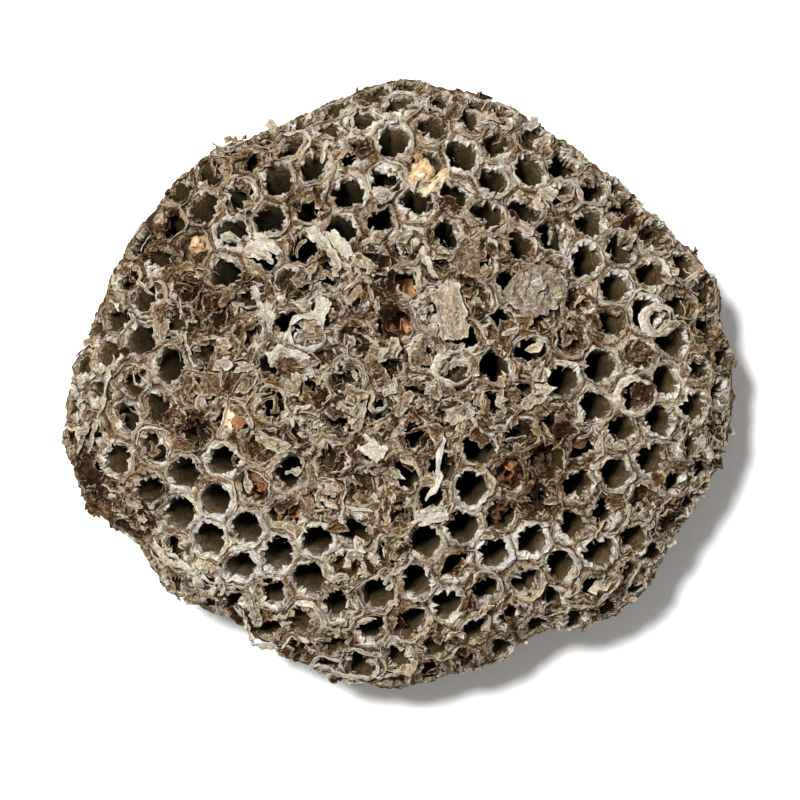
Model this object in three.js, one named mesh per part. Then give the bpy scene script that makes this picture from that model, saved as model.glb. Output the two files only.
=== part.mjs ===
// The paper comb of a hornet nest, lying on its back with the cell mouths up.
// The comb is one natural piece: tubes of wood-pulp paper, packed in a hexagon lattice, whose mouths make a
// low dome and whose closed ends draw together into a small scar where the nest was cut from its support.
// Dried cocoons and silk plugs, spun by the brood, stay in a few cells.
// Millimetres, +Z up, with the origin at the centre of the flat cut scar.
import * as THREE from "three";

const radians = THREE.MathUtils.degToRad;
const lerp = THREE.MathUtils.lerp;

// The lattice of cells, as flat paper would lie before it is bent over the dome.
const CELL_PITCH = 9.42;
const LATTICE_TURN = radians(19.07);
const LATTICE_START = new THREE.Vector2(19.4, 0);
const DOME_AXIS = new THREE.Vector2(-24.3, -3.8);
const DOME_RADIUS = 296;

// The comb's outline from above: its radius every 10 degrees, anticlockwise from +X.
const OUTLINE = [
  78.8, 78, 78.7, 74.3, 71.5, 70.7, 70.6, 72, 72.3, 73.3, 71, 68.8,
  69.2, 72.1, 72.4, 72.6, 73.5, 74.7, 78.4, 79.8, 78.7, 71.7, 72.7, 68,
  67.5, 68.7, 69.4, 70.3, 68.3, 67.6, 65.8, 71.8, 74.7, 73.6, 75, 77.7,
];

// Heights and depths.
const CROWN_HEIGHT = 46;
const DOME_DROP = 14;
const EDGE_ROLL = 10;
const EDGE_ROLL_POWER = 10;
const BACK_RISE = 8;
const BACK_SHARE = 0.62;
const SCAR_RADIUS = 24;
const FLANK_STEPS = [0, 0.22, 0.5, 0.78, 1];
const FLANK_BELLY = 1.7;

// Cells at the edge stand closer together from above, because the comb turns down there. Its corners are
// drawn out to the outline, those of one cell all the way and those between two cells less.
const SQUEEZE_FROM = 0.88;
const SQUEEZE_ROOM = 0.105;
const LAST_CELL_SHARE = 1.045;
const OUTLINE_PULL = { 1: 1, 2: 0.8 };

// Mouths: the opening as a share of the cell, the lip round it, and how unevenly cells end.
const MOUTH_SHARE = 0.77;
const MOUTH_SPREAD = 0.08;
const TORN_OVER = { h: 0.36, s: 0.5, m: 0.3, c: 0.06 };
const LIP_HEIGHT = 0.5;
const LIP_SPREAD = 1.2;
const WEB_SINK = 0.4;

// What fills each cell, row by row of the lattice: the first cell's place in its row, then a letter a cell.
// o open, r open with a thick rim, h half torn over, s small opening, c closed by a lid, m matted scraps,
// k dried cocoon, p silk plug.
const CHART = {
  8: [-6, "hhshohh"],
  7: [-7, "hohohsohhm"],
  6: [-8, "hhprohrhpohc"],
  5: [-8, "hhmrhhohhhoos"],
  4: [-8, "oommmcmmchshss"],
  3: [-8, "hhommhcmkmmhsos"],
  2: [-8, "hhhcmhcckmcscoom"],
  1: [-8, "mohmksmmmmhsccooh"],
  0: [-7, "mhorcmmmmcrhchrhm"],
  "-1": [-6, "morkhcmsmsmoocos"],
  "-2": [-5, "sorkmchsommohoh"],
  "-3": [-4, "srrrhmhokkhhoos"],
  "-4": [-3, "shocmookmhoosm"],
  "-5": [-2, "shhorhrrhscs"],
  "-6": [-1, "mhhhoshooom"],
  "-7": [1, "shhhhhss"],
  "-8": [4, "m"],
};
const EDGE_CELL = "h";
const ROWS = 10;

// How far down its tube each kind of cell is open.
const OPEN_DEPTH = { o: 0.7, r: 0.7, h: 0.7, s: 0.5, c: 0.06, m: 0.13, k: 0.46, p: 0.32 };

// What sits in a cell: it starts this share of the open depth down, and keeps clear of the paper round it.
const COCOON_TOP = 0.3;
const PLUG_TOP = 0.06;
const FILL_GAP = 0.6;
const FILL_FLOOR_GAP = 0.03;

// A repeatable fraction from 0 to 1 for a cell.
function chance(q, r, salt) {
  const s = Math.sin(q * 127.1 + r * 311.7 + salt * 74.7) * 43758.5453;
  return s - Math.floor(s);
}

// The outline's radius in a direction, on a smooth closed curve through OUTLINE.
function outlineRadius(angle) {
  const n = OUTLINE.length;
  const place = ((angle / (2 * Math.PI)) * n + n) % n;
  const i = Math.floor(place);
  const f = place - i;
  const [a, b, c, d] = [-1, 0, 1, 2].map((k) => OUTLINE[(i + k + n) % n]);
  return 0.5 * (2 * b + (c - a) * f + (2 * a - 5 * b + 4 * c - d) * f * f + (3 * (b - c) + d - a) * f ** 3);
}

const edgeShare = (p) => p.length() / outlineRadius(p.angle());

// A lattice cell's place from above.
function site(q, r) {
  const flat = new THREE.Vector2(q + r / 2, (Math.sqrt(3) / 2) * r).multiplyScalar(CELL_PITCH);
  flat.rotateAround(new THREE.Vector2(), LATTICE_TURN).add(LATTICE_START);
  const arc = flat.length();
  const p = flat.multiplyScalar((DOME_RADIUS * Math.sin(arc / DOME_RADIUS)) / arc).add(DOME_AXIS);
  const share = edgeShare(p);
  if (share > SQUEEZE_FROM) {
    const over = (share - SQUEEZE_FROM) / SQUEEZE_ROOM;
    p.multiplyScalar((SQUEEZE_FROM + SQUEEZE_ROOM * (1 - Math.exp(-over))) / share);
  }
  return { p, share };
}

// The point under p, a share of the way from the mouths' dome (0) to the comb's back (1).
function inComb(p, depth, lift = 0) {
  const t = Math.min(1, edgeShare(p));
  const top = CROWN_HEIGHT - DOME_DROP * t ** 2 - EDGE_ROLL * t ** EDGE_ROLL_POWER;
  const plan = p.clone().multiplyScalar(lerp(1, BACK_SHARE, depth));
  return new THREE.Vector3(plan.x, plan.y, lerp(top + lift, BACK_RISE * t ** 2, depth));
}

// The point on the comb's flank, which goes straight down from the edge before it turns in to the back.
function onFlank(p, depth) {
  const point = inComb(p, depth);
  const width = lerp(1, BACK_SHARE, depth ** FLANK_BELLY) / lerp(1, BACK_SHARE, depth);
  return new THREE.Vector3(point.x * width, point.y * width, point.z);
}

// Triangles collected by the corners' names, so that neighbours share their vertices.
class Shell {
  constructor() {
    this.points = [];
    this.faces = [];
    this.known = new Map();
  }
  point(key, make) {
    if (!this.known.has(key)) {
      this.known.set(key, this.points.length);
      this.points.push(make());
    }
    return this.known.get(key);
  }
  quad(a, b, c, d) {
    this.faces.push(a, b, c, a, c, d);
  }
  fan(ring) {
    for (let i = 1; i < ring.length - 1; i++) this.faces.push(ring[0], ring[i], ring[i + 1]);
  }
  geometry() {
    const g = new THREE.BufferGeometry().setFromPoints(this.points);
    g.setIndex(this.faces);
    g.computeVertexNormals();
    return g;
  }
}

// The six lattice neighbours, anticlockwise. A cell's corner i lies between its neighbours i and i + 1.
const NEIGHBOURS = [[1, 0], [0, 1], [-1, 1], [-1, 0], [0, -1], [1, -1]];

function cellKind(q, r) {
  const [first, letters] = CHART[r] ?? [0, ""];
  return letters[q - first] ?? EDGE_CELL;
}

function layOutCells() {
  const cells = new Map();
  for (let r = -ROWS; r <= ROWS; r++) {
    for (let q = -ROWS - 4; q <= ROWS + 4; q++) {
      const { p, share } = site(q, r);
      if (share < LAST_CELL_SHARE) cells.set(`${q},${r}`, { q, r, p, kind: cellKind(q, r) });
    }
  }
  return cells;
}

// The three cells that meet at a cell's corner i, and the corner's place.
function cornerOf(cell, i, cells) {
  const [n, m] = [NEIGHBOURS[i], NEIGHBOURS[(i + 1) % 6]];
  const three = [[cell.q, cell.r], [cell.q + n[0], cell.r + n[1]], [cell.q + m[0], cell.r + m[1]]];
  const key = three.map(String).sort().join(" ");
  const place = new THREE.Vector2();
  three.forEach(([q, r]) => place.addScaledVector(site(q, r).p, 1 / 3));
  const built = three.filter(([q, r]) => cells.has(`${q},${r}`)).length;
  if (built < 3) {
    place.setLength(lerp(place.length(), outlineRadius(place.angle()), OUTLINE_PULL[built]));
  }
  return { key, place };
}

const cells = layOutCells();
for (const cell of cells.values()) {
  cell.corners = NEIGHBOURS.map((_, i) => cornerOf(cell, i, cells));
  const open = MOUTH_SHARE + MOUTH_SPREAD * (chance(cell.q, cell.r, 1) - 0.5);
  const lift = LIP_HEIGHT + LIP_SPREAD * (chance(cell.q, cell.r, 2) - 0.5);
  const tornSide = 6 * chance(cell.q, cell.r, 3);
  const mouth = cell.corners.map(({ place }, i) => {
    const facing = Math.max(0, Math.cos((Math.PI / 3) * (i - tornSide)));
    return cell.p.clone().lerp(place, open - (TORN_OVER[cell.kind] ?? 0) * facing);
  });
  cell.mouth = mouth.map((p) => inComb(p, 0, lift));
  cell.floor = mouth.map((p) => inComb(p, OPEN_DEPTH[cell.kind]));
}

function makeComb() {
  const shell = new Shell();
  const edgeAfter = new Map();
  for (const cell of cells.values()) {
    const name = `${cell.q},${cell.r}`;
    const web = cell.corners.map(({ key, place }) => shell.point(key, () => inComb(place, 0, -WEB_SINK)));
    const lip = cell.mouth.map((v, i) => shell.point(`${name} lip ${i}`, () => v));
    const end = cell.floor.map((v, i) => shell.point(`${name} floor ${i}`, () => v));
    for (let i = 0; i < 6; i++) {
      const j = (i + 1) % 6;
      shell.quad(web[i], web[j], lip[j], lip[i]);
      shell.quad(lip[i], lip[j], end[j], end[i]);
      const [dq, dr] = NEIGHBOURS[j];
      if (!cells.has(`${cell.q + dq},${cell.r + dr}`)) edgeAfter.set(cell.corners[i], cell.corners[j]);
    }
    shell.fan(end);
  }

  // The comb's edge as one loop of corners, then the fluted flank, the back and the flat scar under it.
  const next = new Map([...edgeAfter].map(([a, b]) => [a.key, b]));
  const loop = [];
  let corner = [...edgeAfter.keys()][0];
  do {
    loop.push(corner);
    corner = next.get(corner.key);
  } while (corner.key !== loop[0].key);
  const rings = FLANK_STEPS.map((depth) =>
    loop.map(({ key, place }) =>
      depth === 0 ? shell.point(key) : shell.point(`${key} flank ${depth}`, () => onFlank(place, depth)),
    ),
  );
  const scar = loop.map(({ key }, i) => {
    const near = new THREE.Vector2();
    for (let k = -3; k <= 3; k++) near.add(loop[(i + k + loop.length) % loop.length].place);
    near.setLength(SCAR_RADIUS);
    return shell.point(`${key} scar`, () => new THREE.Vector3(near.x, near.y, 0));
  });
  rings.push(scar);
  const middle = shell.point("scar middle", () => new THREE.Vector3());
  loop.forEach((_, i) => {
    const j = (i + 1) % loop.length;
    for (let k = 1; k < rings.length; k++) {
      shell.quad(rings[k - 1][i], rings[k][i], rings[k][j], rings[k - 1][j]);
    }
    shell.faces.push(scar[i], middle, scar[j]);
  });
  return shell.geometry();
}

// A closed lump that fills a cell from its floor up to a share of its open depth, with a domed top.
function makeFilling(cell, top) {
  const shell = new Shell();
  const middleOf = (ring) => ring.reduce((sum, v) => sum.add(v), new THREE.Vector3()).divideScalar(ring.length);
  const levels = [[1 - FILL_FLOOR_GAP, 1], [lerp(top, 1, 0.35), 1], [lerp(top, 1, 0.08), 0.72]];
  const rings = levels.map(([down, width], k) => {
    const ring = cell.mouth.map((v, i) => v.clone().lerp(cell.floor[i], down));
    const middle = middleOf(ring);
    return ring.map((v, i) => {
      const inward = middle.clone().sub(v);
      const reach = inward.length();
      v.addScaledVector(inward, 1 - (width * (reach - FILL_GAP)) / reach);
      return shell.point(`${k} ${i}`, () => v);
    });
  });
  const crown = shell.point("crown", () =>
    middleOf(cell.mouth.map((v, i) => v.clone().lerp(cell.floor[i], top))),
  );
  for (let i = 0; i < 6; i++) {
    const j = (i + 1) % 6;
    shell.quad(rings[0][i], rings[0][j], rings[1][j], rings[1][i]);
    shell.quad(rings[1][i], rings[1][j], rings[2][j], rings[2][i]);
    shell.faces.push(rings[2][i], rings[2][j], crown);
  }
  shell.fan([...rings[0]].reverse());
  return shell.geometry();
}

const paper = new THREE.MeshStandardMaterial({ color: 0xa89880, roughness: 0.95, metalness: 0 });
const cocoonBrown = new THREE.MeshStandardMaterial({ color: 0x6b4222, roughness: 0.8, metalness: 0 });
const silk = new THREE.MeshStandardMaterial({ color: 0xd9bd8a, roughness: 0.85, metalness: 0 });

const nest = new THREE.Group();

function place(name, geometry, material) {
  const mesh = new THREE.Mesh(geometry, material);
  mesh.name = name;
  nest.add(mesh);
}

place("comb", makeComb(), paper);

const cellsOfKind = (kind) => [...cells.values()].filter((cell) => cell.kind === kind);
cellsOfKind("k").forEach((cell, i) => place(`dried_cocoon_${i + 1}`, makeFilling(cell, COCOON_TOP), cocoonBrown));
cellsOfKind("p").forEach((cell, i) => place(`silk_plug_${i + 1}`, makeFilling(cell, PLUG_TOP), silk));

export default nest;
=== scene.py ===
# The paper comb of a hornet nest, lying on its back with the cell mouths up, seen from straight above.
# Everything is modelled in millimetres in the comb's own frame and turned into metres as a mesh is made.
import math
import random

import bpy
import numpy as np
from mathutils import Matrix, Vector, noise


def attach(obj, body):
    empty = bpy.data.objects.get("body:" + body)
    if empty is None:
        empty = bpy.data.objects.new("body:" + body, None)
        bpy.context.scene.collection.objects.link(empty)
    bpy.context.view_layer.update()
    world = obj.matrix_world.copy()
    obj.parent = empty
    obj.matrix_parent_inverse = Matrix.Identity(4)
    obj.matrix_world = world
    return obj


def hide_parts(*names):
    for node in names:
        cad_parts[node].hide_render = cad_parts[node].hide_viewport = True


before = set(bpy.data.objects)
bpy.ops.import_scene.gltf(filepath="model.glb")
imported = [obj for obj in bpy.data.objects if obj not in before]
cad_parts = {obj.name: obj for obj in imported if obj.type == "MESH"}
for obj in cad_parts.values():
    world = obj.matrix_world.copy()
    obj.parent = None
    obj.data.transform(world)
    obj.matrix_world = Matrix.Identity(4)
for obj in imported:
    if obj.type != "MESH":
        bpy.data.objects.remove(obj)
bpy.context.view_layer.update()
scene = bpy.context.scene

# The comb: one piece of wood-pulp paper that the hornets chewed and laid down as tubes in a hexagon
# lattice. The mouths make a low dome. The closed ends draw together to the flat scar where the comb was
# cut from what it hung on, and it rests on that scar.
MM = 0.001
CELL_PITCH = 9.42
LATTICE_TURN = math.radians(19.07)
LATTICE_START = (19.4, 0.0)
DOME_AXIS = (-24.3, -3.8)
DOME_RADIUS = 296.0
OUTLINE = np.array([
    78.8, 78, 78.7, 74.3, 71.5, 70.7, 70.6, 72, 72.3, 73.3, 71, 68.8,
    69.2, 72.1, 72.4, 72.6, 73.5, 74.7, 78.4, 79.8, 78.7, 71.7, 72.7, 68,
    67.5, 68.7, 69.4, 70.3, 68.3, 67.6, 65.8, 71.8, 74.7, 73.6, 75, 77.7,
])
CROWN_HEIGHT = 46.0
DOME_DROP = 14.0
EDGE_ROLL = 10.0
EDGE_ROLL_POWER = 10
BACK_RISE = 8.0
BACK_SHARE = 0.62
FLANK_BELLY = 1.7
SCAR_RADIUS = 24.0
SQUEEZE_FROM = 0.88
SQUEEZE_ROOM = 0.105
LAST_CELL_SHARE = 1.045
OUTLINE_PULL = {1: 1.0, 2: 0.8}
ROWS = 10

# What fills each cell, row by row: the first cell's place in its row, then a letter a cell.
# o open, r open with a thick rim, h half torn over, s small opening, c closed by a lid, m matted scraps,
# k dried cocoon, p silk plug.
CHART = {
    8: (-6, "hhshohh"),
    7: (-7, "hohohsohhm"),
    6: (-8, "hhprohrhpohc"),
    5: (-8, "hhmrhhohhhoos"),
    4: (-8, "oommmcmmchshss"),
    3: (-8, "hhommhcmkmmhsos"),
    2: (-8, "hhhcmhcckmcscoom"),
    1: (-8, "mohmksmmmmhsccooh"),
    0: (-7, "mhorcmmmmcrhchrhm"),
    -1: (-6, "morkhcmsmsmoocos"),
    -2: (-5, "sorkmchsommohoh"),
    -3: (-4, "srrrhmhokkhhoos"),
    -4: (-3, "shocmookmhoosm"),
    -5: (-2, "shhorhrrhscs"),
    -6: (-1, "mhhhoshooom"),
    -7: (1, "shhhhhss"),
    -8: (4, "m"),
}
EDGE_CELL = "h"
NEIGHBOURS = ((1, 0), (0, 1), (-1, 1), (-1, 0), (0, -1), (1, -1))
OPEN_DEPTH = {"o": 0.7, "r": 0.7, "h": 0.7, "s": 0.5, "c": 0.06, "m": 0.13, "k": 0.46, "p": 0.32}
TORN_OVER = {"h": 0.36, "s": 0.5, "m": 0.3, "c": 0.06}
MOUTH_SHARE = 0.79
MOUTH_SPREAD = 0.08


def chance(q, r, salt):
    """A repeatable fraction from 0 to 1 for a cell."""
    s = math.sin(q * 127.1 + r * 311.7 + salt * 74.7) * 43758.5453
    return s - math.floor(s)


def outline_radius(angle):
    """The comb's radius in a direction, on a smooth closed curve through OUTLINE."""
    place = np.mod(angle / (2 * math.pi), 1.0) * len(OUTLINE)
    step = np.floor(place).astype(int)
    f = place - step
    a, b, c, d = (OUTLINE[(step + k) % len(OUTLINE)] for k in (-1, 0, 1, 2))
    return 0.5 * (2 * b + (c - a) * f + (2 * a - 5 * b + 4 * c - d) * f ** 2 + (3 * (b - c) + d - a) * f ** 3)


def edge_share(plan):
    """How far out points are from above: 0 at the comb's middle and 1 on its outline."""
    return np.hypot(plan[:, 0], plan[:, 1]) / outline_radius(np.arctan2(plan[:, 1], plan[:, 0]))


def site(q, r):
    """A lattice cell's middle from above, and how far out it is."""
    along = CELL_PITCH * (q + r / 2)
    across = CELL_PITCH * math.sqrt(3) / 2 * r
    x = along * math.cos(LATTICE_TURN) - across * math.sin(LATTICE_TURN) + LATTICE_START[0]
    y = along * math.sin(LATTICE_TURN) + across * math.cos(LATTICE_TURN) + LATTICE_START[1]
    arc = math.hypot(x, y)
    bend = DOME_RADIUS * math.sin(arc / DOME_RADIUS) / arc
    plan = np.array([x * bend + DOME_AXIS[0], y * bend + DOME_AXIS[1]])
    share = float(edge_share(plan[None])[0])
    if share > SQUEEZE_FROM:
        over = (share - SQUEEZE_FROM) / SQUEEZE_ROOM
        plan *= (SQUEEZE_FROM + SQUEEZE_ROOM * (1 - math.exp(-over))) / share
    return plan, share


def in_comb(plan, depth, lift=0.0):
    """The points under plan, a share of the way from the mouths' dome to the back, lifted along the tubes."""
    plan = np.atleast_2d(plan)
    share = np.minimum(1.0, edge_share(plan))
    top = CROWN_HEIGHT - DOME_DROP * share ** 2 - EDGE_ROLL * share ** EDGE_ROLL_POWER
    mouth = np.column_stack([plan, top])
    base = np.column_stack([plan * BACK_SHARE, BACK_RISE * share ** 2])
    outward = mouth - base
    outward /= np.linalg.norm(outward, axis=1)[:, None]
    depth = np.broadcast_to(depth, share.shape)[:, None]
    lift = np.broadcast_to(lift, share.shape)[:, None]
    return mouth + (base - mouth) * depth + outward * lift


def cell_kind(q, r):
    first, letters = CHART.get(r, (0, ""))
    if 0 <= q - first < len(letters):
        return letters[q - first]
    return EDGE_CELL


cells = {}
for r in range(-ROWS, ROWS + 1):
    for q in range(-ROWS - 4, ROWS + 5):
        middle, share = site(q, r)
        if share < LAST_CELL_SHARE:
            cells[q, r] = {"q": q, "r": r, "middle": middle, "kind": cell_kind(q, r), "share": share}


def cell_corners(cell):
    """The six corners of a cell from above. Each lies between three cells, and edge ones reach outwards."""
    corners = []
    for i in range(6):
        (aq, ar), (bq, br) = NEIGHBOURS[i], NEIGHBOURS[(i + 1) % 6]
        q, r = cell["q"], cell["r"]
        three = sorted([(q, r), (q + aq, r + ar), (q + bq, r + br)])
        place = sum(site(*one)[0] for one in three) / 3
        built = sum(one in cells for one in three)
        if built < 3:
            out = outline_radius(math.atan2(place[1], place[0]))
            pull = OUTLINE_PULL[built]
            reach = np.hypot(*place)
            place = place * ((1 - pull) * reach + pull * out) / reach
        corners.append(place)
    return np.array(corners)


STEPS_A_SIDE = 5
AROUND = 6 * STEPS_A_SIDE
WEB_SINK = 0.4
# With a seed set, the noise vectors that crumple reads are the same on every run.
noise.seed_set(7)


def crumple(points, size, salt=0.0):
    """A repeatable wander, about 1 mm long at most, for each point. Its waves are size mm long."""
    shift = Vector((salt, salt * 1.7, salt * 0.6))
    return np.array([noise.noise_vector(Vector(p) / size + shift) for p in points])


def ridges(points, size, salt=0.0):
    """Sharp crests and soft hollows, -1 to 1, for each point. The crests stand size mm apart."""
    shift = Vector((salt, -salt, salt * 2.3))
    return np.array([1 - 3 * abs(noise.noise(Vector(p) / size + shift)) for p in points])


def side_points(corners, steps):
    """Points round a polygon, steps to a side, starting on its first corner."""
    after = np.roll(corners, -1, axis=0)
    parts = np.arange(steps) / steps
    return (corners[:, None] + (after - corners)[:, None] * parts[None, :, None]).reshape(-1, 2)


def mouth_opening(cell, border, steps):
    """How much of the way from the cell's middle to its border is open, in each direction."""
    q, r, kind = cell["q"], cell["r"], cell["kind"]
    reach = np.linalg.norm(border - cell["middle"], axis=1)
    turn = np.arange(len(border)) / steps
    wide = MOUTH_SHARE + MOUTH_SPREAD * (chance(q, r, 1) - 0.5)
    rounded = wide * (0.35 + 0.65 * reach.mean() * 0.97 / reach)
    torn_side = 6 * chance(q, r, 3)
    facing = np.maximum(0, np.cos(math.pi / 3 * (turn - torn_side)))
    opening = rounded - TORN_OVER.get(kind, 0) * facing ** 0.8
    lobes = 0.04 * np.sin(math.pi / 3 * 2 * turn + 6 * chance(q, r, 4))
    lobes += 0.03 * np.sin(math.pi / 3 * 3 * turn + 6 * chance(q, r, 5))
    jags = np.array([noise.noise(Vector((t * 2.1, q * 3.7, r * 5.3))) for t in turn])
    jags += 0.6 * np.array([noise.noise(Vector((t * 5.3, q * 2.7, r * 8.3))) for t in turn])
    ragged = 0.05 + 0.1 * chance(q, r, 6) + (0.1 if kind in "hs" else 0)
    return np.clip(opening + lobes + ragged * jags, 0.1, 0.93)


# Rings of the comb's skin round one mouth, from the web between the cells down to the tube's end: how far
# from the cell's border (0) to the mouth's edge (1), lift in mm, share of the open depth, and paleness.
RINGS = (
    (0.0, -WEB_SINK, 0.0, 0.1),
    (0.3, -0.1, 0.0, 0.25),
    (0.6, 0.3, 0.0, 0.5),
    (0.84, 0.6, 0.0, 0.75),
    (1.0, 0.25, 0.0, 0.8),
    (1.0, -0.5, 0.0, 0.5),
    (0.8, -1.2, 0.04, 0.25),
    (0.62, -1.2, 0.14, 0.15),
    (0.6, -1.0, 0.32, 0.0),
    (0.6, -1.0, 0.62, 0.0),
    (0.7, 0.0, 1.0, 0.0),
)
LID_RINGS = (
    (0.0, -WEB_SINK, 0.0, 0.1),
    (0.35, 0.0, 0.0, 0.2),
    (0.7, 0.5, 0.0, 0.5),
    (0.95, 0.7, 0.0, 1.0),
    (1.08, -0.1, 0.0, 0.8),
    (1.25, -0.4, 0.3, 0.3),
    (1.6, -0.2, 0.7, 0.15),
    (2.2, 0.0, 0.9, 0.1),
    (2.7, 0.0, 1.0, 0.1),
    (3.2, 0.0, 0.9, 0.15),
)
LITTER = {"o": 0.1, "r": 0.05, "h": 0.3, "s": 0.6, "c": 0.4, "m": 0.95, "k": 0.45, "p": 0.2}
vertices = []
marks = []
faces = []
face_uvs = []
border_index = {}


def add_vertices(points, pale, inside, litter, fray=0.0, back=0.0):
    """Adds vertices with their marks: paleness, depth inside a tube, litter lying there, fraying, back."""
    first = len(vertices)
    for p in points:
        vertices.append(p)
        marks.append((pale, inside, litter, fray, back))
    return list(range(first, first + len(points)))


def add_band(above, below, v_above, v_below, turn_length, u_start=0.0):
    """Quads between two closed rows of vertices, with the distance round and across as their UVs."""
    n = len(above)
    for i in range(n):
        j = (i + 1) % n
        faces.append((above[i], above[j], below[j], below[i]))
        u, w = u_start + i * turn_length / n, u_start + (i + 1) * turn_length / n
        face_uvs.append(((u, v_above), (w, v_above), (w, v_below), (u, v_below)))


def litter_at(cell):
    near = [cells.get((cell["q"] + a, cell["r"] + b), cell) for a, b in NEIGHBOURS]
    return 0.5 * LITTER[cell["kind"]] + 0.5 * sum(LITTER[one["kind"]] for one in near) / 6


outer_side = {}
for cell in cells.values():
    q, r, kind, middle = cell["q"], cell["r"], cell["kind"], cell["middle"]
    shallow = kind in "cm"
    border = side_points(cell_corners(cell), STEPS_A_SIDE)
    border_top = in_comb(border, 0.0)
    drift = crumple(border_top, 5.0)[:, :2] * 1.1 + crumple(border_top, 1.9, 3.0)[:, :2] * 0.5
    border = border + drift * np.minimum(1.0, 8 * np.maximum(0, 1 - edge_share(border)))[:, None]
    cell["border"] = border
    opening = mouth_opening(cell, border, STEPS_A_SIDE)
    cell["opening"] = opening
    lift_all = 1.2 * (chance(q, r, 2) - 0.5) + 0.3
    cell["lift"] = lift_all
    pale_cell = {"r": 1.0, "o": 0.7}.get(kind, 0.45) * (0.7 + 0.5 * chance(q, r, 7))
    row = []
    rows = []
    for number, (toward, lift, down, pale) in enumerate(LID_RINGS if shallow else RINGS):
        to_mouth = 1 - (1 - opening) * min(toward, 1.0)
        if toward > 1:
            to_mouth = opening * (1 - (toward - 1) / 2.6)
        if not shallow and number > 5:
            # Below its lip the tube is wider than its torn mouth.
            to_mouth = 1 - (1 - (MOUTH_SHARE + 0.02)) * toward / 0.6
        plan = middle + (border - middle) * to_mouth[:, None] if toward > 1 or shallow or number <= 5 else (
            middle + (border - middle) * to_mouth)
        depth = down * OPEN_DEPTH[kind]
        raised = lift + (lift_all * min(1.0, toward * 1.5) if number <= 5 or shallow else 0)
        points = in_comb(plan, depth, raised)
        rough = 1.0 if number <= 5 or shallow else 0.35
        if number > 0:
            points = points + crumple(points, 1.7, 9.0) * 0.55 * rough
        bump = ridges(points, 2.3, 5.0) * 0.4 + ridges(points, 1.1, 7.0) * 0.25
        if shallow and number > 3:
            bump = bump * 2.0
        points[:, 2] += bump * rough * (1.0 if number else 0.6)
        # Deeper in the tube the inside mark rises, for walls darkened by stains and painted shade.
        inside = 0.0 if number <= 4 else (0.6 + 3.5 * depth) * (0.6 if kind == "m" else 0.15 if shallow else 1)
        on_top = number <= 3 or shallow
        litter = litter_at(cell) * on_top * (0.4 if number > 4 else 1.0)
        if number == 0:
            keys = [tuple(np.round(b, 4)) for b in border]
            row = []
            for key, point in zip(keys, points):
                if key not in border_index:
                    border_index[key] = add_vertices([point], pale, 0.0, litter)[0]
                row.append(border_index[key])
        else:
            fray = 1.0 if 3 <= number <= 4 else on_top * (0.1 + 0.35 * litter)
            row = add_vertices(points, pale * pale_cell, inside, litter, fray)
        rows.append(row)
    across = 0.0
    for k in range(1, len(rows)):
        gap = float(np.linalg.norm(np.array(vertices[rows[k][0]]) - np.array(vertices[rows[k - 1][0]])))
        add_band(rows[k - 1], rows[k], across, across + gap, 26.0, 40 * chance(q, r, 8))
        across += gap
    end = in_comb(middle, OPEN_DEPTH[kind] * 1.02)
    tip = add_vertices(end, 0.1 if shallow else 0.0, 0.3 if shallow else 3.0, 0.4 * litter_at(cell) * shallow)[0]
    last = rows[-1]
    for i in range(AROUND):
        faces.append((last[i], last[(i + 1) % AROUND], tip))
        face_uvs.append(((i, across), (i + 1, across), (i + 0.5, across + 2)))
    for i in range(6):
        a, b = NEIGHBOURS[(i + 1) % 6]
        if (q + a, r + b) not in cells:
            side = rows[0][i * STEPS_A_SIDE:(i + 1) * STEPS_A_SIDE]
            after = rows[0][((i + 1) * STEPS_A_SIDE) % AROUND]
            chain = side + [after]
            for here, there in zip(chain, chain[1:]):
                outer_side[here] = there

# The flank under the outermost cells, the back and the scar, all hung from the edge of the skin.
loop = []
here = next(iter(outer_side))
while here not in loop[:1]:
    loop.append(here)
    here = outer_side[here]
edge_points = np.array([vertices[i] for i in loop])
edge_plan = edge_points[:, :2]
around_length = float(np.linalg.norm(np.roll(edge_points, -1, axis=0) - edge_points, axis=1).sum())


def smoothed(rows, times):
    for _ in range(times):
        rows = (np.roll(rows, 1, axis=0) + rows + np.roll(rows, -1, axis=0)) / 3
    return rows


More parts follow.
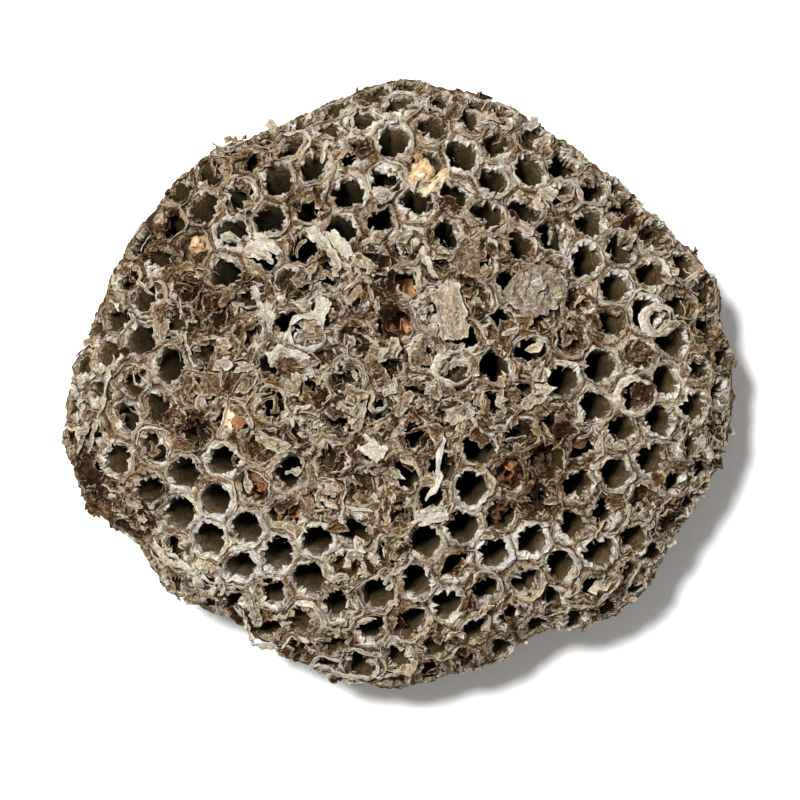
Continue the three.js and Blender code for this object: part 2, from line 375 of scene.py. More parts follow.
FLANK_ROWS = 22
BACK_ROWS = 12
SCAR_ROWS = 7
above = loop
across = 0.0
soft_plan = smoothed(edge_plan, 60)
for k in range(1, FLANK_ROWS + BACK_ROWS + SCAR_ROWS + 1):
    if k <= FLANK_ROWS:
        depth = (k / FLANK_ROWS) ** 1.15
        blur = smoothed(edge_plan, int(10 * depth))
        base = in_comb(blur, depth)
        straight = 1 - (1 - BACK_SHARE) * depth
        base[:, :2] *= (1 - (1 - BACK_SHARE) * depth ** FLANK_BELLY) / straight
        base = base + crumple(base, 2.4, 21.0) * 0.8 + crumple(base, 0.9, 22.0) * 0.25
        bands = 0.3 * math.sin(k * 2.1)
        base[:, :2] *= 1 + bands / 70
        litter = 0.5 if depth < 0.12 else 0.3 * (1 - depth)
        flank_end = base
    elif k <= FLANK_ROWS + BACK_ROWS:
        part = (k - FLANK_ROWS) / BACK_ROWS
        ring = soft_plan / np.linalg.norm(soft_plan, axis=1)[:, None] * SCAR_RADIUS
        scar = np.column_stack([ring, np.zeros(len(ring))])
        base = flank_end * (1 - part) + scar * part
        base[:, 2] = flank_end[:, 2] * (1 - part) ** 1.3
        wander = crumple(base, 3.0, 31.0) * 0.9 * math.sin(math.pi * part)
        base = base + wander
        base[:, 2] = np.maximum(base[:, 2], 0.05 * (1 - part))
        litter = 0.0
    else:
        part = 1 - (k - FLANK_ROWS - BACK_ROWS) / (SCAR_ROWS + 0.5)
        base = np.column_stack([ring * part, np.zeros(len(ring))])
        litter = 0.0
    gap = float(np.linalg.norm(base[0] - np.array(vertices[above[0]])))
    inside = 0.0 if k <= FLANK_ROWS + BACK_ROWS else 0.4
    back = min(1.0, max(0.0, (k - 0.7 * FLANK_ROWS) / (0.3 * FLANK_ROWS)))
    below = add_vertices(base, 0.35, inside, litter, 0.5 if litter == 0.5 else 0.1 * (litter > 0), back)
    add_band(above, below, across, across + gap, around_length)
    across += gap
    above = below
scar_middle = add_vertices([np.zeros(3)], 0.2, 0.5, 0.0)[0]
for i in range(len(above)):
    faces.append((above[i], above[(i + 1) % len(above)], scar_middle))
    face_uvs.append(((0, across), (1, across), (0.5, across + 1)))


def make_mesh(name, points, polygons, uvs=None, point_marks=None):
    """A mesh in metres from points in millimetres, with its UVs and named marks on its points."""
    mesh = bpy.data.meshes.new(name)
    mesh.from_pydata([tuple(float(c) * MM for c in p) for p in points], [], polygons)
    if uvs:
        layer = mesh.uv_layers.new(name="UVMap")
        flat = [c for corners in uvs for uv in corners for c in uv]
        layer.data.foreach_set("uv", flat)
    for mark, values in (point_marks or {}).items():
        attribute = mesh.attributes.new(mark, "FLOAT", "POINT")
        attribute.data.foreach_set("value", np.asarray(values, np.float32))
    mesh.validate()
    mesh.shade_smooth()
    return mesh


def place(name, mesh, material, slot, *nodes):
    """Puts a finished piece in the scene, on the nest's one body."""
    piece = bpy.data.objects.new(name, mesh)
    scene.collection.objects.link(piece)
    mesh.materials.clear()
    mesh.materials.append(material)
    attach(piece, "root")
    if nodes:
        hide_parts(*nodes)
    return piece


class Finish:
    """A node material under construction: a Principled shader, and short ways to add and join nodes."""

    def __init__(self, name, roughness):
        self.material = bpy.data.materials.new(name)
        self.material.use_nodes = True
        self.tree = self.material.node_tree
        self.shader = self.tree.nodes["Principled BSDF"]
        self.shader.inputs["Roughness"].default_value = roughness
        self.shader.inputs["Specular IOR Level"].default_value = 0.1
        self.object_place = self.tree.nodes.new("ShaderNodeTexCoord").outputs["Object"]
        self.surface_place = self.tree.nodes.new("ShaderNodeUVMap").outputs["UV"]

    def add(self, kind, settings=None, **inputs):
        node = self.tree.nodes.new(kind)
        for key, value in (settings or {}).items():
            setattr(node, key, value)
        for key, value in inputs.items():
            self.give(node.inputs[key], value)
        return node

    def give(self, socket, value):
        if isinstance(value, bpy.types.NodeSocket):
            self.tree.links.new(value, socket)
        else:
            socket.default_value = value

    def mark(self, name):
        return self.add("ShaderNodeAttribute", {"attribute_name": name}).outputs["Fac"]

    def scaled(self, place, scale):
        mapping = self.add("ShaderNodeMapping", Vector=place)
        mapping.inputs["Scale"].default_value = scale
        return mapping.outputs["Vector"]

    def noise(self, place, scale, detail=4.0, roughness=0.6, distortion=0.0):
        """Noise from 0 to 1. Scale is waves to a millimetre along each axis of the place."""
        vector = self.scaled(place, scale)
        node = self.add("ShaderNodeTexNoise", Vector=vector, Scale=1.0, Detail=detail)
        node.inputs["Roughness"].default_value = roughness
        node.inputs["Distortion"].default_value = distortion
        return node.outputs["Fac"]

    def fibres(self, place, scale, detail=4.0):
        """Bright hair-thin ridges, 0 to 1, like matted pulp fibres."""
        vector = self.scaled(place, scale)
        node = self.add(
            "ShaderNodeTexNoise", {"noise_type": "RIDGED_MULTIFRACTAL", "normalize": True},
            Vector=vector, Scale=1.0, Detail=detail, Roughness=0.6, Lacunarity=2.1, Gain=2.0, Distortion=0.5,
        )
        return node.outputs["Fac"]

    def nearness(self, x, y, radius):
        """1 at a spot seen from above, given in mm, fading smoothly to 0 at the radius."""
        away = self.add("ShaderNodeVectorMath", {"operation": "DISTANCE"})
        self.give(away.inputs[0], self.scaled(self.object_place, (1, 1, 0)))
        away.inputs[1].default_value = (x * MM, y * MM, 0)
        fade = self.add("ShaderNodeMapRange", {"interpolation_type": "SMOOTHSTEP"}, Value=away.outputs["Value"])
        fade.inputs["From Max"].default_value = radius * MM
        fade.inputs["To Min"].default_value = 1
        fade.inputs["To Max"].default_value = 0
        return fade.outputs["Result"]

    def sum(self, *terms):
        """The sum of sockets times their weights, given as (socket, weight), plus plain numbers."""
        total = sum(t for t in terms if isinstance(t, (int, float)))
        for socket, weight in (t for t in terms if not isinstance(t, (int, float))):
            node = self.add("ShaderNodeMath", {"operation": "MULTIPLY_ADD"})
            self.give(node.inputs[0], socket)
            node.inputs[1].default_value = weight
            self.give(node.inputs[2], total)
            total = node.outputs[0]
        return total

    def ramp(self, value, stops):
        node = self.add("ShaderNodeValToRGB", Fac=value)
        elements = node.color_ramp.elements
        while len(elements) < len(stops):
            elements.new(0.5)
        for element, (at, colour) in zip(elements, stops):
            element.position = at
            element.color = (*colour, 1)
        return node.outputs["Color"]

    def mix(self, share, a, b, blend="MIX"):
        node = self.add("ShaderNodeMix", {"data_type": "RGBA", "blend_type": blend})
        self.give(node.inputs[0], share)
        self.give(node.inputs[6], a)
        self.give(node.inputs[7], b)
        return node.outputs[2]

    def bump(self, height, distance, strength=1.0, normal=None):
        node = self.add("ShaderNodeBump", Height=height, Strength=strength, Distance=distance)
        if normal:
            self.tree.links.new(normal, node.inputs["Normal"])
        return node.outputs["Normal"]

    def finish(self, colour, normal):
        self.give(self.shader.inputs["Base Color"], colour)
        self.tree.links.new(normal, self.shader.inputs["Normal"])
        return self.material


def shade(hex_code):
    """A colour written as six hexadecimal digits, as linear light."""
    parts = [int(hex_code[i:i + 2], 16) / 255 for i in (0, 2, 4)]
    return tuple(p / 12.92 if p < 0.04045 else ((p + 0.055) / 1.055) ** 2.4 for p in parts)


A_MM = 1000.0
PAPER_SHADES = (
    (0.0, shade("201206")), (0.22, shade("402811")), (0.4, shade("7f6348")), (0.56, shade("ad9c86")),
    (0.74, shade("cfc4b4")), (1.0, shade("e6ded2")),
)
HUE_SHADES = (
    (0.32, shade("d6d1d2")), (0.46, shade("efebe4")), (0.58, shade("fcf6e6")), (0.67, shade("f0dab2")),
    (0.8, shade("dcb076")),
)
TINGES = ((0.36, shade("f0eaf3")), (0.5, shade("f4f9fe")), (0.62, shade("edf3e7")))


# Spots seen from above where the paper's colour is made darker (below 0) or paler: x, y and radius in mm, and by how
# much.
PATCHES = (
    (-50.0, 38.0, 34.0, -0.16), (-47.0, -8.7, 8.0, -0.4), (-3.4, 27.0, 10.0, -0.2), (-43.4, 18.1, 8.0, -0.22),
    (-1.4, 14.7, 7.0, -0.3), (-71.0, -24.0, 14.0, -0.07), (31.0, -19.0, 15.0, -0.26), (22.0, 2.0, 9.0, -0.16),
    (-32.0, -34.0, 32.0, 0.11), (-34.0, 33.0, 10.0, 0.14), (-20.6, 12.6, 8.0, 0.16), (11.5, 5.0, 7.0, 0.12),
)


def pulp_finish(name, marks_and_weights, streaks, base):
    """Wood-pulp paper: grey to rusty drifts, matted fibres in streaks, dark specks of painted shade in its fine
    crevices, paler where marked.
    """
    pulp = Finish(name, 0.9)
    drifts = pulp.noise(pulp.object_place, (0.16 * A_MM,) * 3, 3.0, 0.6, 0.6)
    patches = pulp.noise(pulp.object_place, (0.6 * A_MM,) * 3, 5.0, 0.65, 0.5)
    grain = pulp.noise(pulp.object_place, (2.3 * A_MM,) * 3, 6.0, 0.75)
    streak = pulp.noise(pulp.surface_place, (*streaks, 1.0), 4.0, 0.7, 0.8)
    ridge = pulp.fibres(pulp.object_place, (1.1 * A_MM,) * 3)
    value = pulp.sum(
        (patches, 0.6), (grain, 0.55), (streak, 0.9), (ridge, 0.3), base,
        *((pulp.mark(mark), weight) for mark, weight in marks_and_weights),
        *((pulp.nearness(x, y, radius), strength) for x, y, radius, strength in PATCHES),
    )
    colour = pulp.ramp(value, PAPER_SHADES)
    hue = pulp.ramp(pulp.sum((drifts, 0.7), (patches, 0.3)), HUE_SHADES)
    colour = pulp.mix(pulp.sum((value, -0.95), 1.2), colour, hue, "MULTIPLY")
    tinge = pulp.ramp(pulp.noise(pulp.object_place, (0.4 * A_MM,) * 3, 4.0, 0.6, 1.0), TINGES)
    colour = pulp.mix(1.0, colour, tinge, "MULTIPLY")
    # Painted shade: dark specks where the fine relief would shadow itself, weaker on the pale rims.
    painted_crevice_shade = pulp.ramp(
        pulp.sum((grain, 0.6), (ridge, 0.25), (streak, 0.3)), ((0.38, (0.34, 0.24, 0.14)), (0.52, (1.0, 1.0, 1.0))),
    )
    crevice_shade_share = pulp.sum((pulp.mark(marks_and_weights[0][0]), -0.4), 0.75)
    colour = pulp.mix(crevice_shade_share, colour, painted_crevice_shade, "MULTIPLY")
    fine = pulp.bump(grain, 0.0003, 1.0)
    coarse = pulp.bump(pulp.sum((patches, 0.6), (streak, 1.0), (ridge, 0.4)), 0.0008, 1.0, fine)
    return pulp, colour, coarse


paper, body_colour, paper_normal = pulp_finish("nest_paper", [("pale", 0.6), ("litter", -0.22)], (0.3, 3.4), -0.79)
# Below the mouth the mark goes on from 1 to 3, and the walls darken with it: partly stained pulp, partly painted
# shade deep in the tubes.
wall_noise = paper.noise(paper.surface_place, (0.6, 1.6, 1.0), 4.0)
wall_stain_and_shade_value = paper.sum((wall_noise, 1.0), (paper.mark("inside"), -0.22), 0.28)
wall_stain_and_shade_colour = paper.ramp(wall_stain_and_shade_value, ((0.1, shade("0f0a04")), (0.38, shade("21190c")), (0.7, shade("4b3d21"))))
paper_colour = paper.mix(paper.mark("inside"), body_colour, wall_stain_and_shade_colour)
# On the back the tubes' rounded ends show through, under bands of lighter and darker pulp, with painted shade in the
# grooves between the ends and painted light on their middles.
cell_ends = paper.add(
    "ShaderNodeTexVoronoi", Vector=paper.scaled(paper.object_place, (0.17 * A_MM,) * 3), Scale=1.0, Randomness=0.55,
).outputs["Distance"]
bands = paper.noise(paper.object_place, (0.05 * A_MM, 0.05 * A_MM, 0.9 * A_MM), 3.0, 0.6, 1.5)
back_bands_and_groove_shade = paper.ramp(
    paper.sum((cell_ends, -0.7), (bands, 1.1), 0.25),
    ((0.2, shade("8a7a66")), (0.5, shade("e0d6c6")), (0.8, (1.25, 1.22, 1.15))),
)
paper_colour = paper.mix(paper.mark("back"), paper_colour, paper.mix(1.0, paper_colour, back_bands_and_groove_shade, "MULTIPLY"))
ends_height = paper.add("ShaderNodeMath", {"operation": "MULTIPLY"})
paper.give(ends_height.inputs[0], paper.mark("back"))
paper.give(ends_height.inputs[1], paper.sum((cell_ends, -1.0), 1.0))
paper_normal = paper.bump(ends_height.outputs[0], 0.0022, 1.0, paper_normal)
paper_material = paper.finish(paper_colour, paper_normal)

pale_marks, inside_marks, litter_marks, fray_marks, back_marks = np.array(marks).T
comb_mesh = make_mesh(
    "comb", vertices, faces, face_uvs,
    {"pale": pale_marks, "inside": inside_marks, "litter": litter_marks, "fray": fray_marks, "back": back_marks},
)
comb = place("comb_paper", comb_mesh, paper_material, "nest_paper", "comb")

# The mouths' rims: the last strokes of pulp round each tube, paler than the web between them. Wear and
# torn-off caps left them as a ragged crust, standing up to a millimetre and frayed inwards. Each ring of
# crust is stuck to the comb and to its neighbours.
CRUST_STEPS_A_SIDE = 8
CRUST_AROUND = 6 * CRUST_STEPS_A_SIDE
# The crust's section, from its foot inside the tube over its crest to its foot in the web: how far from
# the mouth's edge (0) to the border (1), mm up, how much of the jagging reaches it, and paleness.
CRUST_SECTION = (
    (0.05, -1.7, 0.1, 0.2), (0.0, -0.6, 0.6, 0.7), (-0.08, 0.3, 1.0, 1.0), (0.24, 0.75, 0.7, 1.0),
    (0.54, 0.62, 0.4, 0.75), (0.82, 0.46, 0.2, 0.3), (1.1, 0.4, 0.0, 0.1), (1.0, -1.6, 0.0, 0.0),
)
PALEST_RIM = 1.15
crust_points = []
crust_faces = []
crust_uvs = []
crust_pale = []
for cell in cells.values():
    q, r, kind, middle = cell["q"], cell["r"], cell["kind"], cell["middle"]
    border = side_points(cell_corners(cell), CRUST_STEPS_A_SIDE)
    on_border = in_comb(border, 0.0)
    drift = crumple(on_border, 5.0)[:, :2] * 1.1 + crumple(on_border, 1.9, 3.0)[:, :2] * 0.5
    border = border + drift * np.minimum(1.0, 8 * np.maximum(0, 1 - edge_share(border)))[:, None]
    opening = mouth_opening(cell, border, CRUST_STEPS_A_SIDE)
    out = border - middle
    reach = np.linalg.norm(out, axis=1)
    out = out / reach[:, None]
    turn = np.arange(CRUST_AROUND) / CRUST_STEPS_A_SIDE
    ragged = np.array([noise.noise(Vector((t * 3.3, q * 1.9, r * 4.1))) for t in turn])
    wide = np.array([noise.noise(Vector((t * 0.8, q * 2.3, r * 1.1 + 40))) for t in turn])
    spikes = np.array([max(0.0, chance(q + i * 0.37, r, 9) - 0.8) * 6 for i in range(CRUST_AROUND)])
    height = {"o": 1.1, "r": 1.5}.get(kind, 0.8) * (1 + 1.2 * wide + 0.5 * ragged)
    pale_rim = {"r": 1.55, "o": 1.15}.get(kind, 0.8) * (0.6 + 0.6 * chance(q, r, 7)) * (1 + 0.7 * wide)
    first = len(crust_points)
    for toward, up, jag, pale in CRUST_SECTION:
        inward = jag * (0.5 * ragged + 0.8 * spikes)
        share = opening + (1 - opening) * toward
        plan = middle + out * (share * reach - inward)[:, None]
        lift = cell["lift"] * min(1.0, 2 * (1.1 - toward))
        lift = lift + (up * (1 + (np.maximum(0.2, height) - 1) * min(1.0, 1.1 - toward)) if up > 0.1 else up)
        points = in_comb(plan, 0.0, lift)
        if up > -1:
            points = points + crumple(points, 1.3, 12.0) * 0.55 + crumple(points, 0.55, 14.0) * 0.25
            points[:, 2] += ridges(points, 1.9, 16.0) * 0.3 + ridges(points, 0.9, 17.0) * 0.15
        crust_points.extend(points)
        crust_pale.extend(np.minimum(PALEST_RIM, pale_rim * pale))
    for step in range(len(CRUST_SECTION)):
        above = first + step * CRUST_AROUND
        below = first + (step + 1) % len(CRUST_SECTION) * CRUST_AROUND
        start_u = 30 * chance(q, r, 8)
        for i in range(CRUST_AROUND):
            j = (i + 1) % CRUST_AROUND
            crust_faces.append((above + j, above + i, below + i, below + j))
            u, w = start_u + i * 0.45, start_u + (i + 1) * 0.45
            v = 0.5 * step
            crust_uvs.append(((w, v), (u, v), (u, v + 0.5), (w, v + 0.5)))

crust_mesh = make_mesh("crust", crust_points, crust_faces, crust_uvs, {"pale": crust_pale})
crust_mesh.attributes.new("inside", "FLOAT", "POINT")
crust_mesh.shade_flat()
place("rim_crust", crust_mesh, paper_material, "nest_paper")


# The litter: scraps torn from lids, caps and walls, matted into the web with loose fibres. They lie thick
# over the worn middle of the comb and thin among the clean mouths. Each is paper a tenth of a mm thick.


def torn_scrap(name, seed, spokes, rings, stretch, height, curl, thickness):
    """A crumpled scrap of paper about 2 mm across, closed all round, in its own hidden object."""
    draw = random.Random(seed)
    lobe = draw.uniform(0, 6)
    outline = [
        1 + 0.2 * math.sin(2 * math.pi * 2 * i / spokes + lobe) + draw.uniform(-0.5, 0.25) for i in range(spokes)
    ]
    sheet = [(0.0, 0.0)]
    for k in range(1, rings + 1):
        for i in range(spokes):
            angle = 2 * math.pi * (i + draw.uniform(-0.3, 0.3)) / spokes
            reach = outline[i] * k / rings
            sheet.append((reach * math.cos(angle) * stretch, reach * math.sin(angle)))
    points = []
    for side in (1, -1):
        for x, y in sheet:
            fold = noise.noise(Vector((x * 0.9, y * 1.3, seed * 7.3)))
            kink = abs(noise.noise(Vector((x * 1.7, y * 2.8, seed * 3.1))))
            z = height * (1.0 * fold + 2.0 * kink) + curl * (y * y + 0.2 * x * x)
            points.append((x, y, z + side * thickness / 2))
    count = len(sheet)
    polygons = []
    for i in range(spokes):
        j = (i + 1) % spokes
        polygons.append((0, 1 + i, 1 + j))
        polygons.append((count, count + 1 + j, count + 1 + i))
        for k in range(rings - 1):
            a, b = 1 + k * spokes + i, 1 + k * spokes + j
            polygons.append((a, a + spokes, b + spokes, b))
            polygons.append((count + a, count + b, count + b + spokes, count + a + spokes))
        a, b = 1 + (rings - 1) * spokes + i, 1 + (rings - 1) * spokes + j
        polygons.append((a, count + a, count + b, b))
    uvs = [[points[i][:2] for i in polygon] for polygon in polygons]
    torn_edge = ([0.0] * (count - spokes) + [1.0] * spokes) * 2
    mesh = make_mesh(name, points, polygons, uvs, {"pale": torn_edge})
    mesh.shade_flat()
    return bpy.data.objects.new(name, mesh)


def stray_fibre(name, seed, sides=3, joints=4, thickness=0.036):
    """A curved fibre about 2 mm long that thins to its ends, closed, in its own hidden object."""
    draw = random.Random(seed)
    bend, sway = draw.uniform(-0.5, 0.5), draw.uniform(-0.4, 0.4)
    points = [(-1.05, 0.0, 0.0)]
    for k in range(joints):
        x = -0.9 + 1.8 * k / (joints - 1)
        y = bend * (1 - x * x) + 0.08 * math.sin(4 * x + seed)
        z = sway * x * x + 0.08 * math.sin(5 * x + 2 * seed)
        wide = thickness * (1 - 0.6 * x * x)
        for i in range(sides):
            angle = 2 * math.pi * i / sides
            points.append((x, y + wide * math.cos(angle), z + wide * math.sin(angle)))
    points.append((1.05, 0.0, sway))
    polygons = []
    for i in range(sides):
        j = (i + 1) % sides
        polygons.append((0, 1 + j, 1 + i))
        for k in range(joints - 1):
            a, b = 1 + k * sides + i, 1 + k * sides + j
            polygons.append((a, b, b + sides, a + sides))
        a, b = 1 + (joints - 1) * sides + i, 1 + (joints - 1) * sides + j
        polygons.append((a, b, len(points) - 1))
    return bpy.data.objects.new(name, make_mesh(name, points, polygons, None, {"pale": [1.8] * len(points)}))


def strewing_nodes(mark):
    """Geometry Nodes that strew a collection's pieces over a surface, as thickly as the mark on it says."""
    tree = bpy.data.node_groups.new("strewn_by_" + mark, "GeometryNodeTree")
    sockets = tree.interface
    sockets.new_socket("Surface", in_out="INPUT", socket_type="NodeSocketGeometry")
    for name, kind in (
        ("Pieces", "Collection"), ("Pieces per square metre", "Float"), ("Smallest", "Float"),
        ("Largest", "Float"), ("Tilt", "Float"), ("Lift", "Float"), ("Seed", "Int"), ("Finish", "Material"),
    ):
        sockets.new_socket(name, in_out="INPUT", socket_type="NodeSocket" + kind)
    sockets.new_socket("Litter", in_out="OUTPUT", socket_type="NodeSocketGeometry")
    start = tree.nodes.new("NodeGroupInput").outputs
    add = tree.nodes.new
    join = tree.links.new

    marked = add("GeometryNodeInputNamedAttribute")
    marked.data_type = "FLOAT"
    marked.inputs["Name"].default_value = mark
    thickly = add("ShaderNodeMath")
    thickly.operation = "MULTIPLY"
    join(marked.outputs["Attribute"], thickly.inputs[0])
    join(start["Pieces per square metre"], thickly.inputs[1])
    points = add("GeometryNodeDistributePointsOnFaces")
    join(start["Surface"], points.inputs["Mesh"])
    join(thickly.outputs[0], points.inputs["Density"])
    join(start["Seed"], points.inputs["Seed"])

    tilt_back = add("ShaderNodeMath")
    tilt_back.operation = "MULTIPLY"
    tilt_back.inputs[1].default_value = -1
    join(start["Tilt"], tilt_back.inputs[0])
    corners = []
    for tilt_socket, spin in ((tilt_back.outputs[0], 0.0), (start["Tilt"], 2 * math.pi)):
        corner = add("ShaderNodeCombineXYZ")
        join(tilt_socket, corner.inputs[0])
        join(tilt_socket, corner.inputs[1])
        corner.inputs[2].default_value = spin
        corners.append(corner.outputs[0])
    turn = add("FunctionNodeRandomValue")
    turn.data_type = "FLOAT_VECTOR"
    join(corners[0], turn.inputs[0])
    join(corners[1], turn.inputs[1])
    join(start["Seed"], turn.inputs["Seed"])
    turned = add("FunctionNodeRotateRotation")
    turned.rotation_space = "LOCAL"
    join(points.outputs["Rotation"], turned.inputs[0])
    join(turn.outputs[0], turned.inputs[1])
    draw = add("FunctionNodeRandomValue")
    draw.data_type = "FLOAT"
    join(start["Seed"], draw.inputs["Seed"])
    seldom = add("ShaderNodeMath")
    seldom.operation = "POWER"
    join(draw.outputs[1], seldom.inputs[0])
    seldom.inputs[1].default_value = 2.2
    size = add("ShaderNodeMapRange")
    join(seldom.outputs[0], size.inputs["Value"])
    join(start["Smallest"], size.inputs["To Min"])
    join(start["Largest"], size.inputs["To Max"])
    pieces = add("GeometryNodeCollectionInfo")
    pieces.inputs["Separate Children"].default_value = True
    pieces.inputs["Reset Children"].default_value = True
    join(start["Pieces"], pieces.inputs["Collection"])
    strewn = add("GeometryNodeInstanceOnPoints")
    strewn.inputs["Pick Instance"].default_value = True
    join(points.outputs["Points"], strewn.inputs["Points"])
    join(pieces.outputs[0], strewn.inputs["Instance"])
    join(turned.outputs[0], strewn.inputs["Rotation"])
    join(size.outputs[0], strewn.inputs["Scale"])

    height = add("FunctionNodeRandomValue")
    height.data_type = "FLOAT"
    join(start["Lift"], height.inputs[3])
    up = add("ShaderNodeCombineXYZ")
    join(height.outputs[1], up.inputs[2])
    lifted = add("GeometryNodeTranslateInstances")
    join(strewn.outputs[0], lifted.inputs["Instances"])
    join(up.outputs[0], lifted.inputs["Translation"])
    tint = add("FunctionNodeRandomValue")
    tint.data_type = "FLOAT"
    tinted = add("GeometryNodeStoreNamedAttribute")
    tinted.data_type = "FLOAT"
    tinted.domain = "INSTANCE"
    tinted.inputs["Name"].default_value = "tint"
    join(lifted.outputs[0], tinted.inputs["Geometry"])
    join(tint.outputs[1], tinted.inputs["Value"])
    solid = add("GeometryNodeRealizeInstances")
    join(tinted.outputs[0], solid.inputs["Geometry"])
    finished = add("GeometryNodeSetMaterial")
    join(solid.outputs[0], finished.inputs["Geometry"])
    join(start["Finish"], finished.inputs["Material"])
    join(finished.outputs[0], tree.nodes.new("NodeGroupOutput").inputs[0])
    return tree


def strew(name, surface, tree, pieces, material, **inputs):
    """Runs the strewing nodes over a surface and places what they make as one plain mesh."""
    hidden = bpy.data.collections.new(name + "_pieces")
    for one in pieces:
        hidden.objects.link(one)
    carrier = bpy.data.objects.new(name + "_carrier", surface.copy())
    scene.collection.objects.link(carrier)
    modifier = carrier.modifiers.new("strewing", "NODES")
    modifier.node_group = tree
    given = {"Pieces": hidden, "Finish": material, **{k.replace("_", " "): v for k, v in inputs.items()}}
    for socket in tree.interface.items_tree:
        if socket.name in given:
            modifier[socket.identifier] = given[socket.name]
    evaluated = carrier.evaluated_get(bpy.context.evaluated_depsgraph_get())
    mesh = bpy.data.meshes.new_from_object(evaluated)
    bpy.data.objects.remove(carrier)
    mesh.name = name

    return place(name, mesh, material, "nest_paper")


scrap, scrap_colour, scrap_normal = pulp_finish(
    "scrap_paper", [("tint", 0.66), ("pale", 0.3)], (0.5, 3.2), -0.96,
)
# Scraps of like paleness still differ: the fraction of a few times their tint picks grey, white or rust.
own_hue = scrap.add("ShaderNodeMath", {"operation": "FRACT"})
scrap.give(own_hue.inputs[0], scrap.sum((scrap.mark("tint"), 5.3)))
SCRAP_HUES = (
    (0.0, shade("cfcacb")), (0.2, shade("f5f2ee")), (0.65, shade("fdf6e8")), (0.86, shade("ecd6b6")),
    (1.0, shade("bd9c78")),
)
scrap_colour = scrap.mix(0.65, scrap_colour, scrap.ramp(own_hue.outputs[0], SCRAP_HUES), "MULTIPLY")
scrap_material = scrap.finish(scrap_colour, scrap_normal)

by_litter = strewing_nodes("litter")
by_fray = strewing_nodes("fray")
flakes = [
    torn_scrap(f"flake_{i}", 11 + i, 13, 3, 1.0 + 0.08 * i, 0.62, 0.2 * (i % 3), 0.1) for i in range(9)
]
shards = [torn_scrap(f"shard_{i}", 41 + i, 6, 1, 1.7, 0.5, 0.3 * (i % 2), 0.14) for i in range(5)]
fibres = [stray_fibre(f"fibre_{i}", i) for i in range(5)]
strew(
    "matted_scraps", comb_mesh, by_litter, flakes, scrap_material,
    Pieces_per_square_metre=90000.0, Smallest=0.6, Largest=2.4, Tilt=0.6, Lift=0.0008, Seed=3,
)
strew(
    "torn_shards", comb_mesh, by_litter, shards, scrap_material,
    Pieces_per_square_metre=420000.0, Smallest=0.25, Largest=1.0, Tilt=0.8, Lift=0.0007, Seed=5,
)
strew(
    "loose_fibres", comb_mesh, by_fray, fibres, scrap_material,
    Pieces_per_square_metre=400000.0, Smallest=0.45, Largest=1.6, Tilt=0.7, Lift=0.0008, Seed=8,
)


# The peeled paper: layers of rims and lids that came loose. Strips follow the rims they peel from. Larger
# torn sheets lie crumpled over the worn cells, still caught at an edge.
class Leaves:
    """Torn sheets that share one mesh: their corners, faces, UVs, tints and which points lie on an edge."""

    def __init__(self):
        self.points = []
        self.faces = []
        self.uvs = []
        self.tints = []
        self.edges = []


paper_leaves = Leaves()


def add_leaf(leaves, rows, thickness, tint, length, width):
    """A sheet through a grid of points, closed all round, with its UVs in mm and its edges marked."""
    n, m = rows.shape[:2]
    normal = np.cross(np.gradient(rows, axis=0), np.gradient(rows, axis=1))
    normal /= np.maximum(1e-6, np.linalg.norm(normal, axis=2))[..., None]
    first = len(leaves.points)
    leaves.points.extend((rows + normal * thickness / 2).reshape(-1, 3))
    leaves.points.extend((rows - normal * thickness / 2).reshape(-1, 3))
    below = n * m
    rim = [i * m for i in range(n)] + [(n - 1) * m + j for j in range(1, m)]
    rim += [i * m + m - 1 for i in range(n - 2, -1, -1)] + [j for j in range(m - 2, 0, -1)]
    place_uv = [(length * (i // m) / (n - 1), width * (i % m) / (m - 1)) for i in range(below)] * 2
    polygons = []
    for i in range(n - 1):
        for j in range(m - 1):
            a, b, c, d = i * m + j, (i + 1) * m + j, (i + 1) * m + j + 1, i * m + j + 1
            polygons.append((a, b, c, d))
            polygons.append((d + below, c + below, b + below, a + below))
    for a, b in zip(rim, rim[1:] + rim[:1]):
        polygons.append((a, a + below, b + below, b))
    leaves.faces.extend(tuple(first + i for i in polygon) for polygon in polygons)
    leaves.uvs.extend([place_uv[i] for i in polygon] for polygon in polygons)
    leaves.tints.extend([tint] * (2 * below))
    edge = np.zeros(below)
    edge[rim] = 1.0
    leaves.edges.extend(np.concatenate([edge, edge]))


